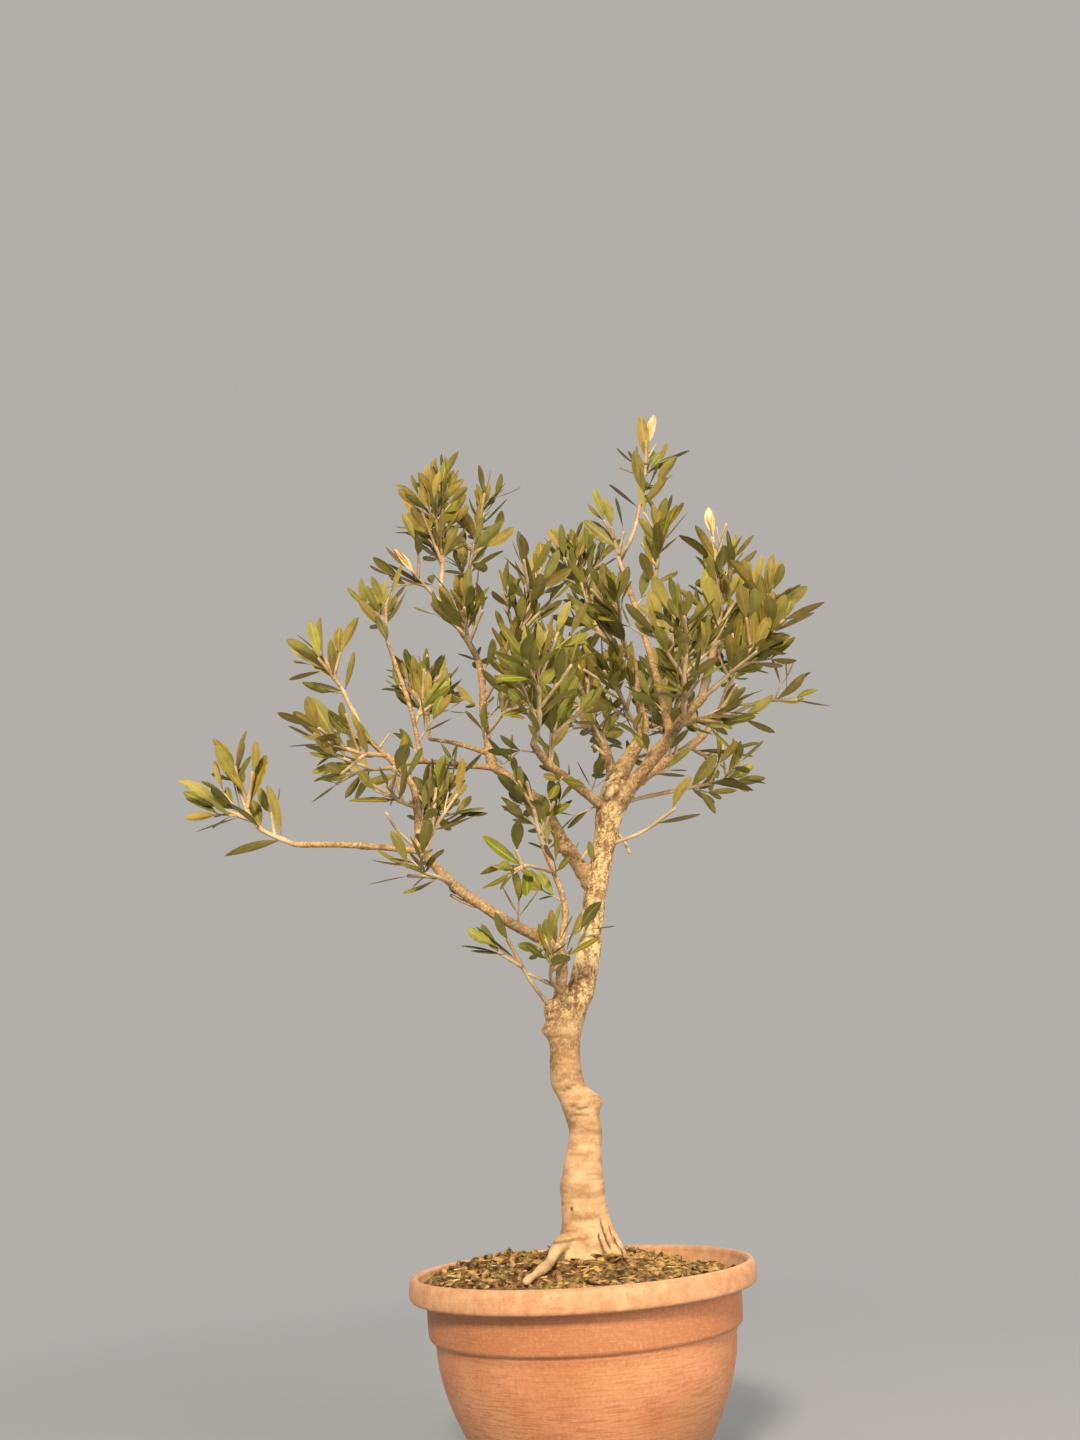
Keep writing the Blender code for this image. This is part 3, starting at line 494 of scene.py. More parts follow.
# ---- the growth rule
def tilt(direction, lean, roll):
    """Direction leant over by an angle, towards the side that the roll picks, from the upper side."""
    side = np.cross(direction, UP if abs(direction[2]) < 0.95 else np.array((1.0, 0.0, 0.0)))
    side = unit(side)
    upper = np.cross(side, direction)
    a, r = math.radians(lean), math.radians(roll)
    return math.cos(a) * direction + math.sin(a) * (math.cos(r) * upper + math.sin(r) * side)


class Leaf(NamedTuple):
    """A leaf: its root on the twig's axis, the way it points, the way its face looks, its length,
    and its pair's place behind the twig's tip."""
    root: np.ndarray
    direction: np.ndarray
    face: np.ndarray
    length: float
    rank: int


class Twig(NamedTuple):
    """A twig: its axis, its end radii, and the step between its pairs of leaves."""
    path: np.ndarray
    radii: tuple
    step: float


def facing(look, way):
    """The face of a leaf that points one way and looks another, as nearly as it can."""
    return unit(look - way * (look @ way))


def leaf_points(leaf):
    """Points over the outer four fifths of a leaf, for testing what it would touch."""
    side = np.cross(leaf.face, leaf.direction)
    t = np.linspace(0.2, 1.0, 6)[:, None, None]
    half = 0.5 * LEAF_WIDTH / LEAF_LENGTH * leaf.length * np.sin(math.pi * t)
    across = np.array((-1.0, 0.0, 1.0))[None, :, None]
    return (leaf.root + t * leaf.length * leaf.direction + half * across * side).reshape(-1, 3)


def leaves_on(path, first, rng):
    """Pairs of leaves down a twig from a distance on, each pair a quarter turn round from the last.

    They lean less and are shorter towards the tip, and their faces turn to the twig's tip and the sky."""
    run = along(path)
    nodes = np.arange(run[-1] - TIP_BARE, first, -PAIR_STEP)
    roll = rng.uniform(0, 180)
    leaves = []
    for rank, place in enumerate(nodes):
        root, direction = point_at(path, place / run[-1])
        lean = LEAF_LEAN * {0: 0.5, 1: 0.85}.get(rank, 1.0)
        for side in (0, 180):
            way = tilt(direction, lean * rng.uniform(0.8, 1.2), roll + side + rng.uniform(-14, 14))
            way = unit(way + 0.18 * UP)
            face = facing(0.6 * direction + 0.5 * UP, way)
            size = (0.78 if rank == 0 else 0.95) * rng.uniform(0.82, 1.14)
            leaves.append(Leaf(root, way, face, LEAF_LENGTH * size, rank))
        roll += 90
    return leaves


def distances(points, starts, ends):
    """Distance from each point (rows) to each straight segment (columns)."""
    run = ends - starts
    t = np.einsum("psk,sk->ps", points[:, None] - starts, run) / np.einsum("sk,sk->s", run, run)
    t = np.clip(t, 0, 1)
    nearest = starts + t[..., None] * run
    return np.linalg.norm(points[:, None] - nearest, axis=2)


class Spaces:
    """Tells whether points keep clear of the limbs and inside their own mass's space.

    A mass's space is all that lies nearer to its stem than to any other mass's stem."""

    def __init__(self, limbs, stems):
        self.limb_starts = np.vstack([path[:-1] for path, radii in limbs])
        self.limb_ends = np.vstack([path[1:] for path, radii in limbs])
        self.limb_radii = np.concatenate([np.maximum(radii[:-1], radii[1:]) for path, radii in limbs])
        self.stem_starts = np.vstack([path[:-1] for path in stems])
        self.stem_ends = np.vstack([path[1:] for path in stems])
        self.owner = np.concatenate([np.full(len(path) - 1, k) for k, path in enumerate(stems)])

    def clear(self, points):
        """True if no point comes near a limb."""
        gaps = distances(points, self.limb_starts, self.limb_ends) - self.limb_radii
        return gaps.min() >= LIMB_CLEAR

    def allow(self, points, mass):
        """True if no point comes near a limb or nearer to another mass's stem."""
        if not self.clear(points):
            return False
        reach = distances(points, self.stem_starts, self.stem_ends)
        mine = self.owner == mass
        return bool((reach[:, mine].min(axis=1) + SPACE_CLEAR < reach[:, ~mine].min(axis=1)).all())


def grow(mass, index, stem, spaces, seed):
    """A mass's twigs and leaves. Side twigs leave the stem one after another, each TWIG_TURN round
    from the last, shorter towards the tip and turning up; leaves stand in pairs on twigs and stem.
    What would leave the mass's space or touch a limb is skipped."""
    rng = np.random.default_rng(seed + index)
    twigs = []
    leaves = leaves_on(stem, mass.bare * along(stem)[-1], rng)
    roll = rng.uniform(0, 360)
    for rank in range(mass.twigs):
        share = mass.bare + (LAST_TWIG - mass.bare) * (rank + rng.uniform(0.2, 0.8)) / mass.twigs
        start, direction = point_at(stem, share)
        way = tilt(direction, TWIG_LEAN * rng.uniform(0.8, 1.25), roll)
        roll += TWIG_TURN
        length = mass.twig * (1.15 - 0.45 * share) * rng.uniform(0.8, 1.15)
        way = unit(way + 0.15 * UP)
        twig = np.array((start, start + length * unit(way + 0.25 * UP)))
        if not spaces.allow(twig[1:], index):
            continue
        twigs.append(Twig(twig, TWIG_RADII, PAIR_STEP))
        leaves += leaves_on(twig, TWIG_BARE * length, rng)
    return twigs, [leaf for leaf in leaves if spaces.allow(leaf_points(leaf), index)]


def grow_shoot(root, way, length, rng, fits):
    """A short shoot and its small leaves: a pair at its end, and on a longer one a pair below it. A leaf
    that doesn't fit is skipped, and a shoot left bare isn't made."""
    roll = rng.uniform(0, 180)
    grown = []
    for rank, place in enumerate((1.0, 0.45)[:1 if length < TWO_PAIRS else 2]):
        for side in (0, 180):
            out = unit(tilt(way, (26 if rank == 0 else 44) * rng.uniform(0.8, 1.2), roll + side) + 0.1 * UP)
            face = facing(0.6 * way + 0.5 * UP, out)
            foot = root + place * length * way
            grown.append(Leaf(foot, out, face, SHOOT_LEAF * rng.uniform(0.75, 1.2), rank))
        roll += 90
    small = [leaf for leaf in grown if fits(leaf_points(leaf))]
    shoots = [Twig(np.array((root, root + length * way)), SHOOT_RADII, length)] if small else []
    return shoots, small


def grow_shoots(leaves, index, spaces, share):
    """Short shoots in the axils of some leaves behind the tips. A shoot leaves between its leaf and the
    twig, so its way is the leaf's own turned up."""
    rng = np.random.default_rng(SHOOT_SEED + index)
    shoots, small = [], []
    for leaf in leaves:
        if leaf.rank == 0 or rng.uniform() > share:
            continue
        way = unit(leaf.direction + rng.uniform(0.1, 0.5) * leaf.face + 0.3 * rng.normal(size=3))
        length = rng.uniform(*SHOOT_LENGTH)
        grown = grow_shoot(leaf.root, way, length, rng, lambda points: spaces.allow(points, index))
        shoots += grown[0]
        small += grown[1]
    return shoots, small


def grow_spurs(path, count, spaces, rng):
    """Short leafy shoots along a limb, each TWIG_TURN round from the last and turned up."""
    shoots, small = [], []
    roll = rng.uniform(0, 360)
    for rank in range(count):
        root, direction = point_at(path, (rank + rng.uniform(0.3, 0.9)) / count)
        way = unit(tilt(direction, SPUR_LEAN * rng.uniform(0.8, 1.2), roll) + 0.3 * UP)
        roll += TWIG_TURN
        grown = grow_shoot(root, way, rng.uniform(*SPUR_LENGTH), rng, spaces.clear)
        shoots += grown[0]
        small += grown[1]
    return shoots, small


def grow_bud(stem, index):
    """The young leaves that end a stem, still pale: they stand round its tip and lean out little."""
    rng = np.random.default_rng(BUD_SEED + index)
    root, direction = point_at(stem, 1.0)
    bud = []
    for rank in range(CREAM_LEAVES):
        out = unit(tilt(direction, rng.uniform(2, 8), TWIG_TURN * rank))
        foot = root + rng.uniform(-2, 2) * direction
        bud.append(Leaf(foot, out, facing(direction, out), rng.uniform(*CREAM_LENGTH), rank))
    return bud


# ---- noise, for the reliefs
def scatter(cells, seed):
    """A number in 0..1 for each whole-number cell: a hash of x, y, z and the seed, the same each run."""
    x, y, z = ((cells[..., axis].astype(np.int64) + 32768).astype(np.uint64) for axis in range(3))
    mixed = (x * np.uint64(73856093)) ^ (y * np.uint64(19349663)) ^ (z * np.uint64(83492791))
    mixed = (mixed + np.uint64(seed * 2654435761)) & np.uint64(0xFFFFFFFF)
    mixed = ((mixed ^ (mixed >> np.uint64(13))) * np.uint64(1274126177)) & np.uint64(0xFFFFFFFF)
    mixed = ((mixed ^ (mixed >> np.uint64(16))) * np.uint64(2246822519)) & np.uint64(0xFFFFFFFF)
    return (mixed ^ (mixed >> np.uint64(15))) / 4294967296.0


def noise(points, size, seed):
    """Smooth noise in -1..1 with features of this size: random values on a lattice, blended
    between its eight corners by 3t^2 - 2t^3 along each axis. Size may differ by axis."""
    places = points / size
    low = np.floor(places)
    t = places - low
    t = t * t * (3 - 2 * t)
    total = np.zeros(points.shape[:-1])
    for corner in np.ndindex(2, 2, 2):
        share = np.prod(np.where(np.array(corner), t, 1 - t), axis=-1)
        total += share * scatter(low + corner, seed)
    return 2 * total - 1


def ramp(values, low, high):
    """0 below low and 1 above high, with an S curve between them."""
    t = np.clip((values - low) / (high - low), 0, 1)
    return t * t * (3 - 2 * t)


# ---- surfaces
class Surface(NamedTuple):
    """Points in millimetres, and faces of four and of three corners."""
    points: np.ndarray
    quads: np.ndarray
    triangles: np.ndarray


def grid_quads(rows, columns, closed):
    """Quads of a grid whose points are numbered row by row; closed joins the last column to the first."""
    row = np.arange(rows - 1)[:, None] * columns
    column = np.arange(columns if closed else columns - 1)[None]
    after = (column + 1) % columns
    corners = (row + column, row + after, row + columns + after, row + columns + column)
    return np.stack(corners, axis=-1).reshape(-1, 4)


def closed_rings(rings, first, last):
    """Rings of points joined into a skin, and closed to a point at each end."""
    rows, columns = rings.shape[:2]
    points = np.vstack((rings.reshape(-1, 3), first, last))
    column = np.arange(columns)
    after = (column + 1) % columns
    start = np.column_stack((np.full(columns, rows * columns), after, column))
    top = (rows - 1) * columns
    end = np.column_stack((np.full(columns, rows * columns + 1), top + column, top + after))
    return Surface(points, grid_quads(rows, columns, True), np.vstack((start, end)))


def join(surfaces):
    """Several surfaces as one."""
    starts = np.concatenate(((0,), np.cumsum([len(s.points) for s in surfaces])[:-1]))
    points = np.vstack([s.points for s in surfaces])
    quads = np.vstack([s.quads + start for s, start in zip(surfaces, starts)])
    triangles = np.vstack([s.triangles + start for s, start in zip(surfaces, starts)])
    return Surface(points, quads, triangles)


def frames(path):
    """Unit vectors along, across and beside a path at each point. The one across is square to the
    path and nearest to the axis that the path runs along least."""
    ways = unit(np.gradient(path, axis=0))
    axes = np.array(((1, 0, 0), (0, 1, 0), (0, 0, 1), (0.7, 0.7, 0), (0.7, -0.7, 0), (0, 0.7, 0.7)), float)
    guide = axes[np.argmin(np.abs(ways @ unit(axes).T).max(axis=0))]
    across = unit(guide - ways * (ways @ guide)[:, None])
    return ways, across, np.cross(ways, across)


def tube(path, radii, sides):
    """A tapering limb: at each point of the path a ring of radius r, at angle a the point
    centre + r (cos a across + sin a beside), and a round end of three more rings past the last."""
    ways, across, beside = frames(path)
    dome = np.radians((0.0, 32.0, 60.0, 80.0))
    rows = np.concatenate((np.arange(len(path) - 1), np.full(len(dome), len(path) - 1)))
    size = np.concatenate((radii[:-1], radii[-1] * np.cos(dome)))
    ahead = np.concatenate((np.zeros(len(path) - 1), radii[-1] * np.sin(dome)))
    centres = path[rows] + ahead[:, None] * ways[rows]
    turns = turns_round(sides)[:, None]
    spokes = np.cos(turns) * across[rows][:, None] + np.sin(turns) * beside[rows][:, None]
    rings = centres[:, None] + size[:, None, None] * spokes
    return closed_rings(rings, path[0], path[-1] + radii[-1] * ways[-1])


def revolve(profile, sides, waver):
    """A turned skin: each profile point (r, z) becomes the ring (r cos a, r sin a, z), from the axis
    at the first point to the axis at the last. Past 60 mm the radius wavers slowly by so much."""
    profile = np.asarray(profile, float)
    turns = turns_round(sides)
    radius, height = profile[1:-1, 0, None], profile[1:-1, 1, None]
    radius = radius + waver * (np.sin(2 * turns + 0.7) + 0.6 * np.sin(3 * turns + 2.1)) * (radius > 60)
    rings = np.stack((radius * np.cos(turns), radius * np.sin(turns), height + 0 * turns), axis=-1)
    poles = [np.array((0.0, 0.0, z)) for z in (profile[0, 1], profile[-1, 1])]
    return closed_rings(rings, *poles)


def put(name, surface, materials, nodes, picks=None, attributes=None, smooth_angle=None):
    """The surface as a piece that rides on the body, takes a slot's finish and stands for the nodes."""
    mesh = bpy.data.meshes.new(name)
    sizes = np.concatenate((np.full(len(surface.quads), 4), np.full(len(surface.triangles), 3)))
    corners = np.concatenate((surface.quads.ravel(), surface.triangles.ravel()))
    mesh.vertices.add(len(surface.points))
    mesh.vertices.foreach_set("co", (surface.points * MM).ravel())
    mesh.loops.add(len(corners))
    mesh.loops.foreach_set("vertex_index", corners.astype(np.int32))
    mesh.polygons.add(len(sizes))
    mesh.polygons.foreach_set("loop_start", np.concatenate(((0,), np.cumsum(sizes)[:-1])).astype(np.int32))
    for material in materials:
        mesh.materials.append(material)
    if picks is not None:
        mesh.polygons.foreach_set("material_index", picks.astype(np.int32))
    for key, values in (attributes or {}).items():
        mesh.attributes.new(key, "FLOAT", "POINT").data.foreach_set("value", values.astype(np.float32))
    mesh.update(calc_edges=True)
    mesh.shade_smooth()
    if smooth_angle:
        mesh.set_sharp_from_angle(angle=math.radians(smooth_angle))
    piece = bpy.data.objects.new(name, mesh)
    bpy.context.scene.collection.objects.link(piece)
    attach(piece, BODY)
    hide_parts(*nodes)
    return piece


# ---- materials
def linear(hex_colour):
    """Linear colour from an sRGB hex value."""
    parts = [((hex_colour >> shift) & 255) / 255 for shift in (16, 8, 0)]
    return [p / 12.92 if p <= 0.04045 else ((p + 0.055) / 1.055) ** 2.4 for p in parts] + [1.0]


def per_mm(size):
    """A texture scale that gives features of this size in millimetres."""
    return 1 / (size * MM)


def add(tree, kind, inputs=None, **settings):
    """Adds a node with its settings, and gives each input a value or a link from another's output."""
    node = tree.nodes.new(kind)
    for key, value in settings.items():
        setattr(node, key, value)
    for key, value in (inputs or {}).items():
        if isinstance(value, bpy.types.NodeSocket):
            tree.links.new(value, node.inputs[key])
        else:
            node.inputs[key].default_value = value
    return node


def start_material(name, roughness, ior, *grains):
    """A Principled material, the place on the object that its patterns read, and for each grain a
    pattern of noise: its size in millimetres, or three for the axes, and its detail."""
    made = bpy.data.materials.new(name)
    made.use_nodes = True
    tree = made.node_tree
    shader = tree.nodes["Principled BSDF"]
    shader.inputs["Roughness"].default_value = roughness
    shader.inputs["IOR"].default_value = ior
    place = add(tree, "ShaderNodeTexCoord").outputs["Object"]
    patterns = []
    for size, detail in grains:
        if isinstance(size, tuple):
            stretch = {"Vector": place, "Scale": [per_mm(part) for part in size]}
            inputs = {"Vector": add(tree, "ShaderNodeMapping", stretch).outputs[0], "Scale": 1.0}
        else:
            inputs = {"Vector": place, "Scale": per_mm(size)}
        patterns.append(add(tree, "ShaderNodeTexNoise", {**inputs, "Detail": detail}).outputs[0])
    return made, place, *patterns


def coated(made, under, *coats):
    """Colours laid in turn over what is under them. A coat is a colour and its masks, and covers as
    their product says. A mask is a pattern alone, used as it is, or with the two values that the coat
    fades between, and how strong it is at each, 0 and 1 unless given; soft makes it an S curve."""
    tree = made.node_tree
    for colour, *masks in coats:
        cover = None
        for share, *ends in masks:
            if ends:
                fade = dict(zip(("From Min", "From Max", "To Min", "To Max"), ends))
                curve = "SMOOTHSTEP" if "soft" in ends else "LINEAR"
                fade = add(tree, "ShaderNodeMapRange", {"Value": share, **fade}, interpolation_type=curve)
                share = fade.outputs[0]
            if cover is not None:
                share = add(tree, "ShaderNodeMath", {0: cover, 1: share}, operation="MULTIPLY").outputs[0]
            cover = share
        over = linear(colour) if isinstance(colour, int) else colour
        under = add(tree, "ShaderNodeMix", {0: cover, 6: under, 7: over}, data_type="RGBA").outputs[2]
    return under


def finish_material(made, colour, pattern=None, strength=0.0, depth=0.0):
    """The material with this colour, and with relief from a pattern, to a depth in millimetres."""
    tree = made.node_tree
    shader = tree.nodes["Principled BSDF"]
    tree.links.new(colour, shader.inputs["Base Color"])
    if pattern is not None:
        bump = {"Height": pattern, "Strength": strength, "Distance": depth * MM}
        tree.links.new(add(tree, "ShaderNodeBump", bump).outputs[0], shader.inputs["Normal"])
    return made


def moulded_polypropylene():
    """Pot: terracotta-coloured polypropylene, injection moulded and brushed round, so it is dull
    with fine level streaks about 0.7 mm high, most on the bowl, chalky scuffs, painted shade on the
    collar under the rim, a patchy painted highlight on the rim, and damp stains low on one side.
    Heights are in metres."""
    made, place, fine, cloud, specks, highlight_patches = start_material(
        "moulded_polypropylene", 0.52, 1.49, ((10, 10, 0.7), 3.0), (26, 6.0), (1.4, 5.0), (5, 6.0))
    tree = made.node_tree
    side, _, height = add(tree, "ShaderNodeSeparateXYZ", {0: place}).outputs
    colour = coated(
        made, linear(0xBC7D55),
        (0xCB9068, (cloud, 0.36, 0.66)),                                                # paler clouds
        (0xAB7049, (height, 0.0600, 0.0612, 0.0, 0.7)),                                 # painted shade on the collar, under the rim
        (0xA1663E, (fine, 0.49, 0.62, 0.0, 0.55), (height, 0.060, 0.040, 0.35, 1.0)),   # streaks
        (0xE9C3A2, (specks, 0.52, 0.70, 0.0, 0.16)),                                    # chalk
        (0xD5A67E, (height, 0.0755, 0.0772), (highlight_patches, 0.36, 0.62, 0.95, 0.45)),           # painted highlight on the rim, patchy
        (0x8E7048, (height, 0.052, 0.012, 0.0, 1.0, "soft"), (side, 0.004, 0.045, 0.0, 1.0, "soft"),
         (cloud, 0.36, 0.62, 0.15, 0.75)),                                              # damp
        (0x9A6440, (specks, 0.44, 0.30, 0.0, 0.42)),                                    # dark pits
    )
    rough = add(tree, "ShaderNodeMapRange", {"Value": fine, "To Min": 0.42, "To Max": 0.68}).outputs[0]
    tree.links.new(rough, tree.nodes["Principled BSDF"].inputs["Roughness"])
    return finish_material(made, colour, fine, 0.5, 0.3)


def potting_mix():
    """Soil: bark compost, so it is dull and crumbly, near black in its pores and tan on its fibres,
    with moss in patches about 14 mm across."""
    made, _, crumb, patch = start_material("potting_mix", 0.95, 1.5, (2.6, 6.0), (14, 4.0))
    colour = coated(made, linear(0x21160A), (0x98723A, (crumb, 0.36, 0.66)),
                    (0x8A7A38, (patch, 0.54, 0.64, 0.0, 0.6)))
    return finish_material(made, colour, crumb, 0.9, 0.8)


def litter_material(name, dark, light, size):
    """Litter on the soil: dry plant matter, dull, its colour changing every few millimetres."""
    made, _, change = start_material(name, 0.9, 1.5, (size, 3.0))
    return finish_material(made, coated(made, linear(dark), (light, (change, 0.38, 0.64))))


def olive_bark():
    """Trunk and boughs: smooth tan bark low down, flaking to cream and brown higher up. The mesh says
    where by four attributes: cream (fresh flakes, the pale bark at the high fork with painted light
    there, and painted light on the root that lies on the soil), dark (the hollows' brown deepened by
    painted shade, and painted shade in cracks, folds, wrinkle troughs and the cork's pits), age
    (0 young, 1 old) and flaky, which shows flecks about 1 mm across, brown and pale."""
    made, _, grain, flecks, cloud = start_material(
        "olive_bark", 0.72, 1.5, (1.5, 5.0), (1.1, 2.0), ((13, 13, 6), 5.0))
    cream, dark, age, flaky = (
        add(made.node_tree, "ShaderNodeAttribute", attribute_name=name).outputs["Fac"]
        for name in ("cream", "dark", "age", "flaky"))
    old, young = (coated(made, linear(deep), (pale, (cloud, 0.38, 0.60)))
                  for deep, pale in ((0xA67E54, 0xD2AC84), (0x76562E, 0x9E7B48)))
    colour = coated(
        made, young,
        (old, (age,)),
        (0xDDC49C, (grain, 0.45, 0.72, 0.0, 0.4)),                # pale grain
        (0x705030, (flecks, 0.54, 0.64, 0.0, 0.75), (flaky,)),    # brown flecks
        (0xDAC692, (flecks, 0.48, 0.38, 0.0, 0.68), (flaky,)),    # pale flecks
        (0xDACC9C, (cream,)),
        (0x6A4A2A, (dark,)),
    )
    return finish_material(made, colour, grain, 0.5, 0.3)


def twig_bark():
    """Twigs: young olive bark, pale grey-tan and nearly smooth, with corky dots about 1 mm apart."""
    made, _, cloud, dots = start_material("twig_bark", 0.7, 1.5, (16, 3.0), (1.1, 2.0))
    colour = coated(made, linear(0xA58B66), (0xC9B58E, (cloud, 0.38, 0.62)),
                    (0x86694A, (dots, 0.56, 0.7, 0.0, 0.6)))
    return finish_material(made, colour, dots, 0.4, 0.2)


def leaf_surface(name, hex_colour, rib_colour, roughness):
    """One face of an olive leaf: leathery with a thin wax, so it has a soft sheen; faint mottling about
    5 mm across, and the midrib paler, where the mesh's rib attribute is near 1."""
    made, _, mottle = start_material(name, roughness, 1.45, (5, 3.0))
    rib = add(made.node_tree, "ShaderNodeAttribute", attribute_name="rib").outputs["Fac"]
    deep = [0.72 * part for part in linear(hex_colour)[:3]] + [1.0]
    colour = coated(made, deep, (hex_colour, (mottle, 0.3, 0.6)), (rib_colour, (rib, 0.55, 1.0, 0.0, 0.7)))
    return finish_material(made, colour)


# ---- pot and soil surfaces
def bowl_radius(height):
    """Outer radius of the bowl: a quarter of a sine wave from the foot to the shoulder."""
    share = np.clip((height - FOOT_HEIGHT) / (COLLAR_FOOT - FOOT_HEIGHT), 0, 1)
    return FOOT_RADIUS + (SHOULDER_RADIUS - FOOT_RADIUS) * np.sin(math.pi / 2 * share)


def pot_surface():
    """The pot, turned from one profile: up the inner wall, over the rounded rim band and its undercut,
    down the collar, its step and the bowl, and in under the foot."""
    heights = np.linspace(COLLAR_FOOT - 3.0, FOOT_HEIGHT, 28)
    inner = [(0.0, FLOOR), (20.0, FLOOR), (bowl_radius(FLOOR) - WALL, FLOOR)]
    inner += [(bowl_radius(h) - WALL, h) for h in heights[::-3] if h > FLOOR + 1]
    inner += INNER_WALL[:-1]
    band = smooth(np.array(RIM, float), 5)
    collar = smooth(np.array(COLLAR, float), 4)
    bowl = np.column_stack((bowl_radius(heights), heights))
    foot = [(FOOT_RADIUS - 0.4, 0.5), (FOOT_RADIUS - 1.2, 0.0), (FOOT_RADIUS - 5.0, 0.0)]
    foot += [(20.0, 0.0), (0.0, 0.0)]
    return revolve(np.vstack((inner, band, collar, bowl, foot)), POT_SIDES, POT_WAVER)


def inner_radius(height):
    """Radius of the pot's inner wall at a height."""
    radii, heights = zip(*INNER_WALL)
    return np.interp(height, heights, radii)


def soil_height(x, y):
    """Height of the soil: level round the trunk, sinking to the wall by an S curve and again by one to
    the right, heaped a little against the trunk and behind it, with crumbs from three sizes of noise."""
    radius = np.hypot(x, y)
    spots = np.stack((x, y, 0 * x), axis=-1)
    height = SOIL_SEAT + (SOIL_EDGE - SOIL_SEAT) * ramp(radius, 0.8 * SEAT_RADIUS, SOIL_RADIUS)
    height = height + TRUNK_HEAP * np.exp(-((radius - 18) / 16) ** 2) - SOIL_SAG * ramp(x, 18, 62)
    height = height + SOIL_HEAP * np.exp(-((x + 38) / 24) ** 2 - ((y - 30) / 24) ** 2)
    for seed, (size, rise) in enumerate(CRUMBS, 1):
        height = height + rise * noise(spots, size, seed)
    return height


def soil_surface():
    """The soil: rings of the height field out to the wall, then down inside it and in to the axis below.
    A ring that would pass the pot's inner wall at its own height is drawn in to it."""
    turns = turns_round(SOIL_SIDES)
    radii = np.concatenate((np.linspace(1.0, SOIL_RADIUS, 76), (BASE_RADIUS, 20.0)))
    x, y = radii[:, None] * np.cos(turns), radii[:, None] * np.sin(turns)
    height = soil_height(x, y)
    inside = np.minimum(1, (inner_radius(height) + 0.5) / radii[:, None])
    x, y = x * inside, y * inside
    height[-2:] = SOIL_BASE
    rings = np.stack((x, y, height), axis=-1)[::-1]
    centre = soil_height(np.zeros(1), np.zeros(1))[0]
    return closed_rings(rings, (0.0, 0.0, SOIL_BASE), (0.0, 0.0, centre))


def litter_places(count, rng, low=16.0, high=71.0):
    """Scattered places on the soil, evenly by area between two radii and clear of the pot's wall, as x,
    y and the soil's height."""
    radius = np.sqrt(rng.uniform(low ** 2, high ** 2, count))
    turn = rng.uniform(0, 2 * math.pi, count)
    x, y = radius * np.cos(turn), radius * np.sin(turn)
    inside = np.minimum(1, (inner_radius(soil_height(x, y)) - WALL_GAP) / radius)
    x, y = x * inside, y * inside
    return np.column_stack((x, y, soil_height(x, y)))


def pebbles(places, sizes, rng, rough):
    """Chips or crumbs: at each place the ball (cos u cos v, cos u sin v, sin u), seven by four faces, its
    radius made uneven by noise, drawn out to three half sizes, and turned at random, mostly level."""
    count = len(places)
    columns = 7
    v = turns_round(columns)
    u = np.radians((-55.0, 0.0, 55.0))[:, None]
    ball = np.stack((np.cos(u) * np.cos(v), np.cos(u) * np.sin(v), np.sin(u) + 0 * v), axis=-1)
    ball = np.vstack((ball.reshape(-1, 3), (0, 0, -1), (0, 0, 1)))
    uneven = 1 + rough * rng.uniform(-1, 1, (count, len(ball), 1))
    spin = rng.uniform(0, 2 * math.pi, count)
    ahead = unit(np.stack((np.cos(spin), np.sin(spin), 0.35 * rng.normal(size=count)), axis=-1))
    across = unit(np.cross(UP + 0.35 * rng.normal(size=(count, 3)), ahead))
    local = ball[None] * uneven * sizes[:, None]
    points = places[:, None] + local @ np.stack((ahead, across, np.cross(ahead, across)), axis=1)
    template = closed_rings(np.zeros((3, columns, 3)), np.zeros(3), np.zeros(3))
    start = (np.arange(count) * len(ball))[:, None, None]
    return Surface(points.reshape(-1, 3), (template.quads + start).reshape(-1, 4),
                   (template.triangles + start).reshape(-1, 3))


def straws(count, rng):
    """Bits of straw and root: thin tubes along an arc that lies on the soil."""
    bits = []
    for place in litter_places(count, rng, 22.0, 66.0):
        length = rng.uniform(4, 12)
        turn = rng.uniform(0, 2 * math.pi)
        bend = rng.uniform(-0.5, 0.5)
        run = np.linspace(-0.5, 0.5, 6) * length
        x = place[0] + run * math.cos(turn) - bend * run ** 2 / length * 2 * math.sin(turn)
        y = place[1] + run * math.sin(turn) + bend * run ** 2 / length * 2 * math.cos(turn)
        inside = np.minimum(1, STRAW_REACH / np.hypot(x, y))
        x, y = x * inside, y * inside
        z = soil_height(x, y).mean() + 0.9 + rng.uniform(-0.05, 0.12) * run
        bits.append(tube(np.column_stack((x, y, z)), np.full(6, rng.uniform(0.2, 0.4)), 5))
    return join(bits)


# ---- trunk and boughs
def limb_paths():
    """The limbs' coarse axes, which the rule grows from, and for each its radii."""
    spine = trunk_spine(2)
    paths = {"trunk": spine[:, :3]}
    radii = {"trunk": spine[:, 3]}
    stub_start = point_at(paths["trunk"], STUB_AT)[0]
    paths["trunk_stub"] = course(stub_start, STUB_LEGS, 2)
    radii["trunk_stub"] = np.linspace(*STUB_RADII, 3)
    for limb in BOUGHS:
        start = point_at(paths[limb.parent], limb.at)[0]
        paths[limb.name] = course(start, limb.legs, 2)
        radii[limb.name] = taper(paths[limb.name], limb.base, limb.tip)
    return paths, radii


